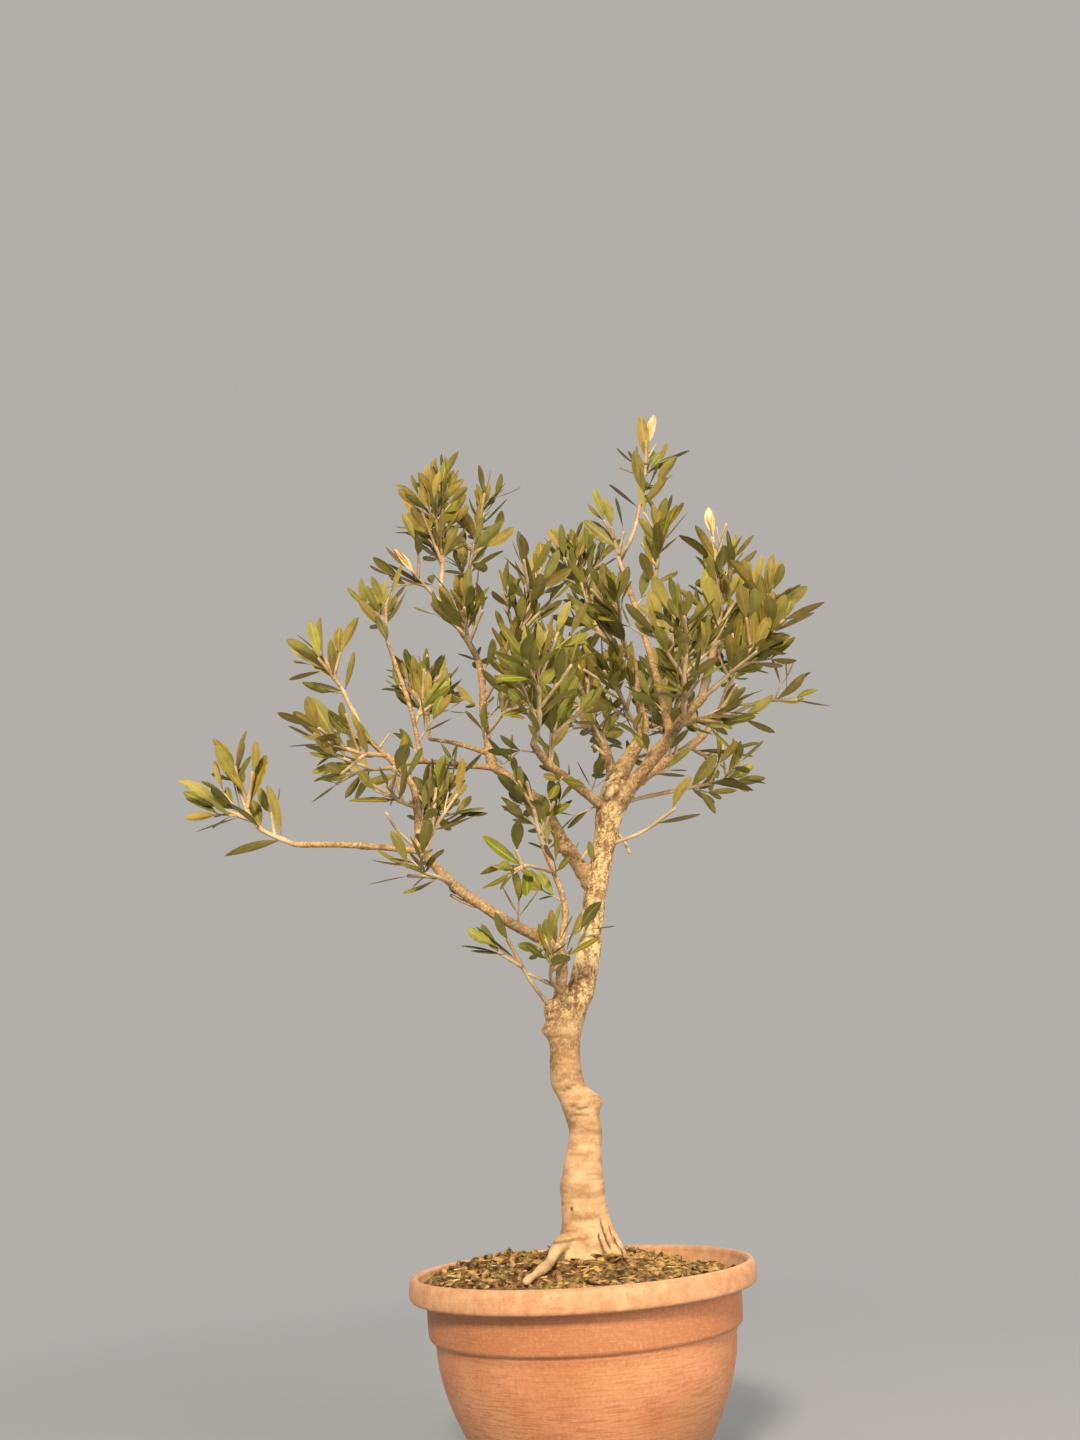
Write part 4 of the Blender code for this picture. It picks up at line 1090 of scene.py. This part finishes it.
def trunk_surface():
    """The trunk: level rings whose radius at angle a is the mean plus the roots, knots and creases, each
    its size times its spread there."""
    spine = trunk_spine(TRUNK_STEPS)
    angles = turns_round(TRUNK_SIDES)
    heights = spine[:, 2, None] - CUT_HEIGHT
    radius = spine[:, 3, None] + 0 * angles
    for bump in ROOTS + KNOTS + CREASES:
        radius = radius + bump.size * spread(bump, heights, angles)
    x = spine[:, 0, None] + radius * np.cos(angles)
    y = spine[:, 1, None] + radius * np.sin(angles)
    rings = np.stack((x, y, spine[:, 2, None] + 0 * radius), axis=-1)
    return closed_rings(rings, spine[0, :3], spine[-1, :3] + TRUNK_CAP * UP)


def root_surface():
    """The root that shows: a tube that leaves the flare and runs out along the soil. Its radius falls
    from one end's to the other's with the 0.7th power of the way."""
    start = np.array(ROOT_START) + CUT_HEIGHT * UP
    path = course(start, ROOT_LEGS, 12)
    run = along(path)
    radii = ROOT_RADII[0] + (ROOT_RADII[1] - ROOT_RADII[0]) * (run / run[-1]) ** 0.7
    return tube(path, radii * (1 + 0.12 * noise(path, 5.0, 61)), 16)


def limb_surface(start, limb, rng):
    """A bough: a tube with a collar, thicker by 6 to 20% at each scar of an old twig."""
    path = course(start, limb.legs, 14)
    run = along(path)
    radii = taper(path, limb.base, limb.tip)
    for scar in rng.uniform(4, run[-1], max(int(run[-1] / SCAR_STEP), 1)):
        radii = radii * (1 + rng.uniform(0.06, 0.2) * np.exp(-((run - scar) / SCAR_REACH) ** 2))
    return tube(path, radii + SKIN_GROWTH, 14)


def remeshed(surface, step):
    """The skins as one skin of even small quads, softened so that limbs run into each other, and the
    skin's normals."""
    piece = put("draft", surface, (), ())
    remesh = piece.modifiers.new("one_skin", "REMESH")
    remesh.mode = "VOXEL"
    remesh.voxel_size = step * MM
    soften = piece.modifiers.new("soften", "SMOOTH")
    soften.factor = 0.5
    soften.iterations = 3
    bpy.context.view_layer.update()
    mesh = bpy.data.meshes.new_from_object(piece.evaluated_get(bpy.context.evaluated_depsgraph_get()))
    points, normals = np.empty((2, len(mesh.vertices), 3))
    mesh.vertices.foreach_get("co", points.reshape(-1))
    mesh.vertex_normals.foreach_get("vector", normals.reshape(-1))
    quads = np.empty(len(mesh.loops), np.int32)
    mesh.loops.foreach_get("vertex_index", quads)
    bpy.data.objects.remove(piece, do_unlink=True)
    return Surface(points / MM, quads.reshape(-1, 4), np.zeros((0, 3), int)), normals


def nearest_limb(points, paths, radii):
    """For each point, the radius of the nearest limb there, and whether that limb is the trunk."""
    samples, sizes, trunk = [], [], []
    for name, path in paths.items():
        run = along(path)
        places = np.arange(0, run[-1], 3.0)
        samples.append(points_on(path, places))
        sizes.append(np.interp(places, run, radii[name]))
        trunk.append(np.full(len(places), name in ("trunk", "trunk_stub")))
    samples, sizes, trunk = np.vstack(samples), np.concatenate(sizes), np.concatenate(trunk)
    found = np.concatenate([       # in parts of about 4000 points, to save memory
        np.argmin(np.linalg.norm(part[:, None] - samples, axis=2) - sizes, axis=1)
        for part in np.array_split(points, max(len(points) // 4000, 1))])
    return sizes[found], trunk[found]


def creases_at(points, height):
    """How deep in one of the trunk's creases a point lies, 0 to 1, from the crease's spread there: it sets
    the painted shade in the creases. The narrow splits get darker painted shade than the folds."""
    stations = np.array(TRUNK)
    turn = np.arctan2(points[:, 1] - np.interp(height, stations[:, 0], stations[:, 2]),
                      points[:, 0] - np.interp(height, stations[:, 0], stations[:, 1]))
    depth = np.zeros(len(points))
    for crease in CREASES:
        if crease.size < 0:
            split = crease.width < 0.2
            strength = 1.0 if split else 0.75 * min(-crease.size, 1.0)
            edges = (0.3, 0.7) if split else (0.2, 0.9)
            depth = np.maximum(depth, strength * ramp(spread(crease, height, turn), *edges))
    return depth


def bark_relief(points, normals, size, trunk):
    """Moves the skin along its normals, and says where the bark is cream, dark, old and flaky.

    Low on the trunk it is smooth, with soft level wrinkles, a sine of height made patchy by noise, and
    corky at the very foot; painted shade darkens the wrinkles' troughs and the cork's pits. Higher up,
    and less so on the boughs, it flakes: where two fine sizes of noise add up high the bark is a raised
    cream flake, and where they add up low it is a brown hollow, deepened by painted shade. One patch
    half way up has just shed its bark, and the high fork is pale, with painted light that lifts the
    crown's shade there. The root that lies on the soil is made paler by painted light, and the creases
    and splits are darkened by painted shade."""
    height = points[:, 2] - CUT_HEIGHT
    reach = np.minimum(size / 6.0, 1.0)                      # thin limbs have less relief
    flaky = np.where(trunk, ramp(height + 9 * noise(points, 14.0, 11), *FLAKY_HEIGHTS), 0.55)
    flaky = np.where(height < SMOOTH_HEIGHT, 0.0, flaky)
    lumps = noise(points, 8.0, 16)
    waver = noise(points, 12.0, 12)
    wrinkles = np.sin(2 * math.pi * (height + 2.2 * waver) / WRINKLE_STEP)
    wrinkles = wrinkles * ramp(noise(points, 6.0, 13), -0.2, 0.6)
    scales = 0.6 * noise(points, np.array((1.9, 1.9, 2.6)), 21) + 0.4 * noise(points, 1.0, 22)
    patches = noise(points, np.array((6.0, 6.0, 15.0)), 23)
    shed = np.exp(-((height - SHED[0]) / SHED[1]) ** 2 - ((points[:, 0] - SHED[2]) / SHED[3]) ** 2)
    raised = ramp(scales + 0.42 * patches + 0.9 * shed, 0.10, 0.30)
    hollow = ramp(-scales - 0.35 * patches - 0.9 * shed, 0.16, 0.42)
    off_axis = np.hypot(points[:, 0] - TRUNK[0].x, points[:, 1] - TRUNK[0].y)
    past_flare = ramp(off_axis, *FLARE_RADII)
    corky = (1 - ramp(height + 3 * lumps, 4, 13)) * (1 - flaky) * (1 - past_flare)
    cork = noise(points, 3.2, 25)
    move = LUMP * lumps * reach + WRINKLE * wrinkles * (1 - flaky) * reach
    move += flaky * reach * (FLAKE * raised - HOLLOW * hollow + SCALE * scales)
    move += GRIT * noise(points, 1.0, 24) * reach + CORK * corky * cork

    # the pale bark round the high fork, with painted light that lifts the crown's shade there
    fork = np.array((TRUNK[-1].x, TRUNK[-1].y, CUT_HEIGHT + TRUNK[-1].height))
    pale = np.exp(-(np.linalg.norm(points - fork, axis=1) / FORK_PALE) ** 2)
    # the root that lies on the soil is made paler with painted light
    root = trunk * past_flare * (height < 20)
    cream = flaky * raised * np.where(trunk, 0.64, 0.25) * (0.75 + 0.25 * patches + 0.8 * shed)
    cream = cream + pale * (0.10 + 0.40 * raised) + 0.22 * root
    # painted shade in the relief's recesses: the flakes' hollows, whose brown it deepens, the wrinkles'
    # troughs, the cork's pits, and the creases and splits
    darks = (
        flaky * hollow * np.where(trunk, 0.75, 0.6),
        0.22 * (1 - flaky) * ramp(-wrinkles, 0.5, 1.0) * trunk,
        0.55 * corky * ramp(-cork, 0.1, 0.6),
        creases_at(points, height) * trunk,
    )
    browned = np.exp(-((height - 90) / 10) ** 2) + 0.7 * np.exp(-((height - 60 - 2 * waver) / 5) ** 2)
    age = np.where(trunk, 1 - 0.75 * flaky - 0.8 * browned * (1 - flaky), 0.2)
    looks = {"cream": np.clip(cream, 0, 1), "dark": np.max(darks, axis=0), "age": np.clip(age, 0, 1),
             "flaky": flaky}
    return points + move[:, None] * normals, looks


# ---- twigs and leaves
def twig_surface(twig):
    """A twig: a tube that wanders a little and thickens by a quarter at each pair of leaves, within
    1.3 mm of it."""
    length = along(twig.path)[-1]
    places = np.linspace(0, length, max(int(length / 1.6), 4))
    path = points_on(twig.path, places)
    wander = 0.35 * np.sin(math.pi * places / length) * noise(path, 7.0, 51)
    path = path + wander[:, None] * (1, -1, 0.3)
    back = length - TIP_BARE - places
    off_node = np.abs(back / twig.step - np.round(back / twig.step)) * twig.step
    radii = np.interp(places, (0, length), twig.radii) * (1 + 0.26 * np.exp(-(off_node / 1.3) ** 2))
    return tube(path, radii, TWIG_SIDES)


LEAF_ROWS = 9
LEAF_COLUMNS = 5
STALK = 0.09                       # share of a leaf's length
BASE_TAPER = 0.85
TIP_TAPER = 0.68
BLADE_WIDTH = 7.6                  # of a blade of LEAF_LENGTH, on average
STALK_WIDTH = 0.10                 # shares of the width that the stalk and the tip keep
TIP_WIDTH = 0.03
EDGE_ROLL = 0.30


def leaf_surfaces(leaves, rng):
    """Leaves as closed thin blades, all from one grid of t along and v across.

    Half width: W/2 (s^0.85 (1-s)^0.68) over its own maximum, s the part of t past the stalk. Each half
    rises from the midrib by the fold and rolls back at its edge: half (fold |v| - roll v^2). The blade
    bends by bend t^2 along its face, is turned by a spin, twists evenly and sways to a side. The
    underside is the same grid, lower by (1-v^2) times the thickness, and shares its rim with the upper
    face."""
    count = len(leaves)
    root, way, face, length = (np.array([leaf[part] for leaf in leaves]) for part in range(4))
    side = np.cross(way, face)
    t = 0.5 * (1 - np.cos(math.pi * np.linspace(0, 1, LEAF_ROWS)))
    v = np.linspace(-1, 1, LEAF_COLUMNS)
    s = np.clip((t - STALK) / (1 - STALK), 0, 1)
    peak = BASE_TAPER / (BASE_TAPER + TIP_TAPER)
    outline = s ** BASE_TAPER * (1 - s) ** TIP_TAPER / (peak ** BASE_TAPER * (1 - peak) ** TIP_TAPER)
    outline = np.maximum(outline, np.where(t < 0.5, STALK_WIDTH, TIP_WIDTH))
    half = 0.5 * BLADE_WIDTH / LEAF_LENGTH * length * rng.uniform(0.76, 1.18, count)
    fold = rng.uniform(0.15, 0.55, count)
    bend = length * rng.normal(0.02, 0.09, count)
    twist = rng.normal(0, 0.35, count)
    spin = rng.normal(0, 0.40, count)
    sway = length * rng.normal(0, 0.04, count)
    edge = half[:, None, None] * outline[None, :, None]
    wide = edge * v
    rise = np.abs(wide) * fold[:, None, None] - EDGE_ROLL * edge * v ** 2
    rise = rise + (bend[:, None] * t ** 2)[..., None]
    turn = (spin[:, None] + twist[:, None] * t)[..., None]
    across = wide * np.cos(turn) - rise * np.sin(turn) + (sway[:, None] * np.sin(math.pi * t))[..., None]
    above = wide * np.sin(turn) + rise * np.cos(turn)
    depth = (0.055 * half[:, None, None] + 0.16) * outline[None, :, None] * (1 - v ** 2)
    ahead = (length[:, None] * t)[..., None] + 0 * v

    def blade(lift):
        return (root[:, None, None] + ahead[..., None] * way[:, None, None]
                + across[..., None] * side[:, None, None] + (above - lift)[..., None] * face[:, None, None])

    grid = np.arange(LEAF_ROWS * LEAF_COLUMNS).reshape(LEAF_ROWS, LEAF_COLUMNS)
    upper = grid_quads(LEAF_ROWS, LEAF_COLUMNS, False)
    below = grid.copy()
    inner = grid[1:-1, 1:-1]
    below[1:-1, 1:-1] = grid.size + np.arange(inner.size).reshape(inner.shape)
    lower = below.ravel()[upper][:, ::-1]
    points = np.concatenate((blade(0 * depth).reshape(count, -1, 3),
                             blade(depth)[:, 1:-1, 1:-1].reshape(count, -1, 3)), axis=1)
    start = (np.arange(count) * points.shape[1])[:, None, None]
    quads = (np.concatenate((upper, lower))[None] + start).reshape(-1, 4)
    picks = np.tile(np.repeat((0, 1), len(upper)), count)
    rib = np.tile(np.where(v == 0, 1.0, 0.0), (LEAF_ROWS, 1))
    rib = np.tile(np.concatenate((rib.ravel(), rib[1:-1, 1:-1].ravel())), count)
    return Surface(points.reshape(-1, 3), quads, np.zeros((0, 3), int)), picks, {"rib": rib}


# ---- making the pieces
put("pot_shell", pot_surface(), [moulded_polypropylene()], ["pot"], smooth_angle=50)
put("soil_surface", soil_surface(), [potting_mix()], ["soil"])

litter_rng = np.random.default_rng(LITTER_SEED)
chip_places = litter_places(CHIPS, litter_rng)
chip_sizes = litter_rng.uniform(*CHIP_SIZES, (CHIPS, 3))
chips = pebbles(chip_places + 0.4 * chip_sizes[:, 2:] * UP, chip_sizes, litter_rng, 0.28)
chip_bark = litter_material("pine_bark_chips", 0x3C280F, 0xCAA564, 4.5)
put("bark_chips", chips, [chip_bark], ["soil"], smooth_angle=35)
moss_places = litter_places(TUFTS, litter_rng, 18.0, 70.0)
moss_places = moss_places[noise(moss_places * (1, 1, 0), MOSS_PATCH, 8) > 0.12]
moss_sizes = litter_rng.uniform(*TUFT_SIZES, (len(moss_places), 3))
tufts = pebbles(moss_places, moss_sizes, litter_rng, 0.35)
put("moss_tufts", tufts, [litter_material("dry_moss", 0x54461E, 0x988A48, 1.5)], ["soil"])
straw = litter_material("straw", 0xA88752, 0xE2CC92, 6.0)
put("straw_bits", straws(STRAWS, litter_rng), [straw], ["soil"])

paths, radii = limb_paths()
boughs = {limb.name: limb for limb in BOUGHS}
bough_rng = np.random.default_rng(BOUGH_SEED)
stub = course(paths["trunk_stub"][0], STUB_LEGS, 12)
neck = course(paths[NECK_LIMB][0], boughs[NECK_LIMB].legs[:1], 12)
skins = [trunk_surface(), root_surface(), tube(stub, np.linspace(*STUB_RADII, len(stub)), 24)]
skins += [limb_surface(paths[name][0], limb, bough_rng) for name, limb in boughs.items()]
skins.append(tube(neck, np.linspace(*NECK_RADII, len(neck)), 20))
skin, normals = remeshed(join(skins), SKIN_STEP)
relief, bark_looks = bark_relief(skin.points, normals, *nearest_limb(skin.points, paths, radii))
skin = skin._replace(points=relief)
put("bark_skin", skin, [olive_bark()], ["trunk", *boughs], attributes=bark_looks)

stems = [course(point_at(paths[mass.parent], mass.at)[0], mass.legs, 2) for mass in MASSES]
spaces = Spaces([(paths[name], radii[name]) for name in paths], stems)
twigs = []
dealt = {kind: [] for kind in KINDS}
deal_rng = np.random.default_rng(DEAL_SEED)


def deal(leaves, shares):
    """Deals each leaf to a kind, by the kinds' shares."""
    for leaf in leaves:
        dealt[deal_rng.choice(list(KINDS), p=shares)].append(leaf)


for index, (mass, stem) in enumerate(zip(MASSES, stems)):
    grown, leaves = grow(mass, index, stem, spaces, SEED)
    if mass.name in CROWDED:
        more, extra = grow(mass, index, stem, spaces, SECOND_SEED)
        grown += more
        leaves += extra
    shares = SPRAY_SHARES.get(mass.name, USUAL)
    shoots, small = grow_shoots(leaves, index, spaces, SHADED_SHARE if shares is SHADED else SHOOT_SHARE)
    leaves += small
    base = mass.base
    if mass.at == 1.0:                 # a stem that ends a limb is as thick as the limb's tip
        base = max(base, boughs[mass.parent].tip)
    twigs += [Twig(course(stem[0], mass.legs, 10), (base, STEM_TIP), PAIR_STEP)] + grown + shoots
    if mass.name in CREAM_TIPS:
        leaves = [leaf for leaf in leaves if np.linalg.norm(leaf.root - stem[-1]) > CREAM_TIPS[mass.name]]
        dealt["cream"] += grow_bud(stem, index)
    deal(leaves, shares)
spur_rng = np.random.default_rng(SPUR_SEED)
for name, count in SPURS.items():
    shoots, leaves = grow_spurs(paths[name], count, spaces, spur_rng)
    twigs += shoots
    # spurs inside the crown take the shaded shares: dark leaves as painted shade
    deal(leaves, SHADED)
for parent, at, legs, base, tip in DEAD_TWIGS:
    snag = course(point_at(paths[parent], at)[0], legs, 6)
    twigs.append(Twig(snag, (base, tip), PAIR_STEP))

masses = [f"{mass.name}_leaves" for mass in MASSES]
put("twigs", join([twig_surface(twig) for twig in twigs]), [twig_bark()], masses)
for kind, (upper, lower, rib) in KINDS.items():
    surface, picks, looks = leaf_surfaces(dealt[kind], deal_rng)
    faces = [leaf_surface(f"{kind}_leaf_upper", upper, rib, 0.50),
             leaf_surface(f"{kind}_leaf_underside", lower, rib, 0.70)]
    put(f"{kind}_leaves", surface, faces, masses, picks, looks, smooth_angle=60)


# ---- floor, light and camera
CROWN = (0.0, 0.0, 0.33)               # what the lamps aim at, in metres
BACKDROP = 0xB2AFAB
FLOOR_REACH = 12.0                     # half a side, in metres
FLOOR_FADES = (0.2, 0.75)              # it turns into the backdrop between these distances, in metres
CAMERA_PLACE = (-0.0035, -0.5643, 0.1468)
LENS = 27.2                            # focal length in millimetres
LOOK_UP = math.radians(20.5)
ROLL = math.radians(-3.6)


def stand(name, data, place=(0.0, 0.0, 0.0), axes=np.eye(3)):
    """An object in the scene at a place, its own axes turned to these, which are the rows."""
    holder = bpy.data.objects.new(name, data)
    holder.matrix_world = Matrix.Translation(place) @ Matrix(np.transpose(axes).tolist()).to_4x4()
    bpy.context.scene.collection.objects.link(holder)
    return holder


def lamp(name, place, side, power, hex_colour):
    """A square area light at a place, in metres, turned towards the crown."""
    light = bpy.data.lights.new(name, "AREA")
    light.size = side
    light.energy = power
    light.color = linear(hex_colour)[:3]
    back = unit(np.array(place) - np.array(CROWN))
    across = unit(np.cross(UP, back))
    stand(name, light, place, (across, np.cross(back, across), back))


lamp("key", (-0.22, -1.50, 1.05), 0.30, 38.0, 0xFFE9C6)
lamp("fill", (1.3, -1.2, 0.6), 1.0, 23.0, 0xFFEAD0)
lamp("back", (0.6, 1.5, 1.3), 1.0, 10.0, 0xFFF2E2)

world = bpy.data.worlds.new("studio")
world.use_nodes = True
world.node_tree.nodes["Background"].inputs["Color"].default_value = linear(BACKDROP)
bpy.context.scene.world = world
bpy.context.scene.view_settings.view_transform = "Standard"

board = bpy.data.meshes.new("floor")
corners = [(x * FLOOR_REACH, y * FLOOR_REACH, 0) for x, y in ((-1, -1), (1, -1), (1, 1), (-1, 1))]
board.from_pydata(corners, [], [(0, 1, 2, 3)])
painted, spot = start_material("painted_board", 0.9, 1.5)
tree = painted.node_tree
shader = tree.nodes["Principled BSDF"]
shader.inputs["Base Color"].default_value = linear(0x9CA3AD)
glow = add(tree, "ShaderNodeEmission", {"Color": linear(BACKDROP)}).outputs[0]
away = add(tree, "ShaderNodeVectorMath", {0: spot}, operation="LENGTH").outputs["Value"]
far = add(tree, "ShaderNodeMapRange", {"Value": away, "From Min": FLOOR_FADES[0], "From Max": FLOOR_FADES[1]},
          interpolation_type="SMOOTHSTEP").outputs[0]
blended = add(tree, "ShaderNodeMixShader", {0: far, 1: shader.outputs[0], 2: glow}).outputs[0]
tree.links.new(blended, tree.nodes["Material Output"].inputs["Surface"])
board.materials.append(painted)
floor = stand("floor", board)

forward = np.array((0.0, math.cos(LOOK_UP), math.sin(LOOK_UP)))
level = np.array((1.0, 0.0, 0.0))
above = np.cross(level, forward)
right = level * math.cos(ROLL) + above * math.sin(ROLL)
top = -level * math.sin(ROLL) + above * math.cos(ROLL)
lens = bpy.data.cameras.new("camera")
lens.lens = LENS
lens.clip_start = 0.01
bpy.context.scene.camera = stand("camera", lens, CAMERA_PLACE, (right, top, -forward))
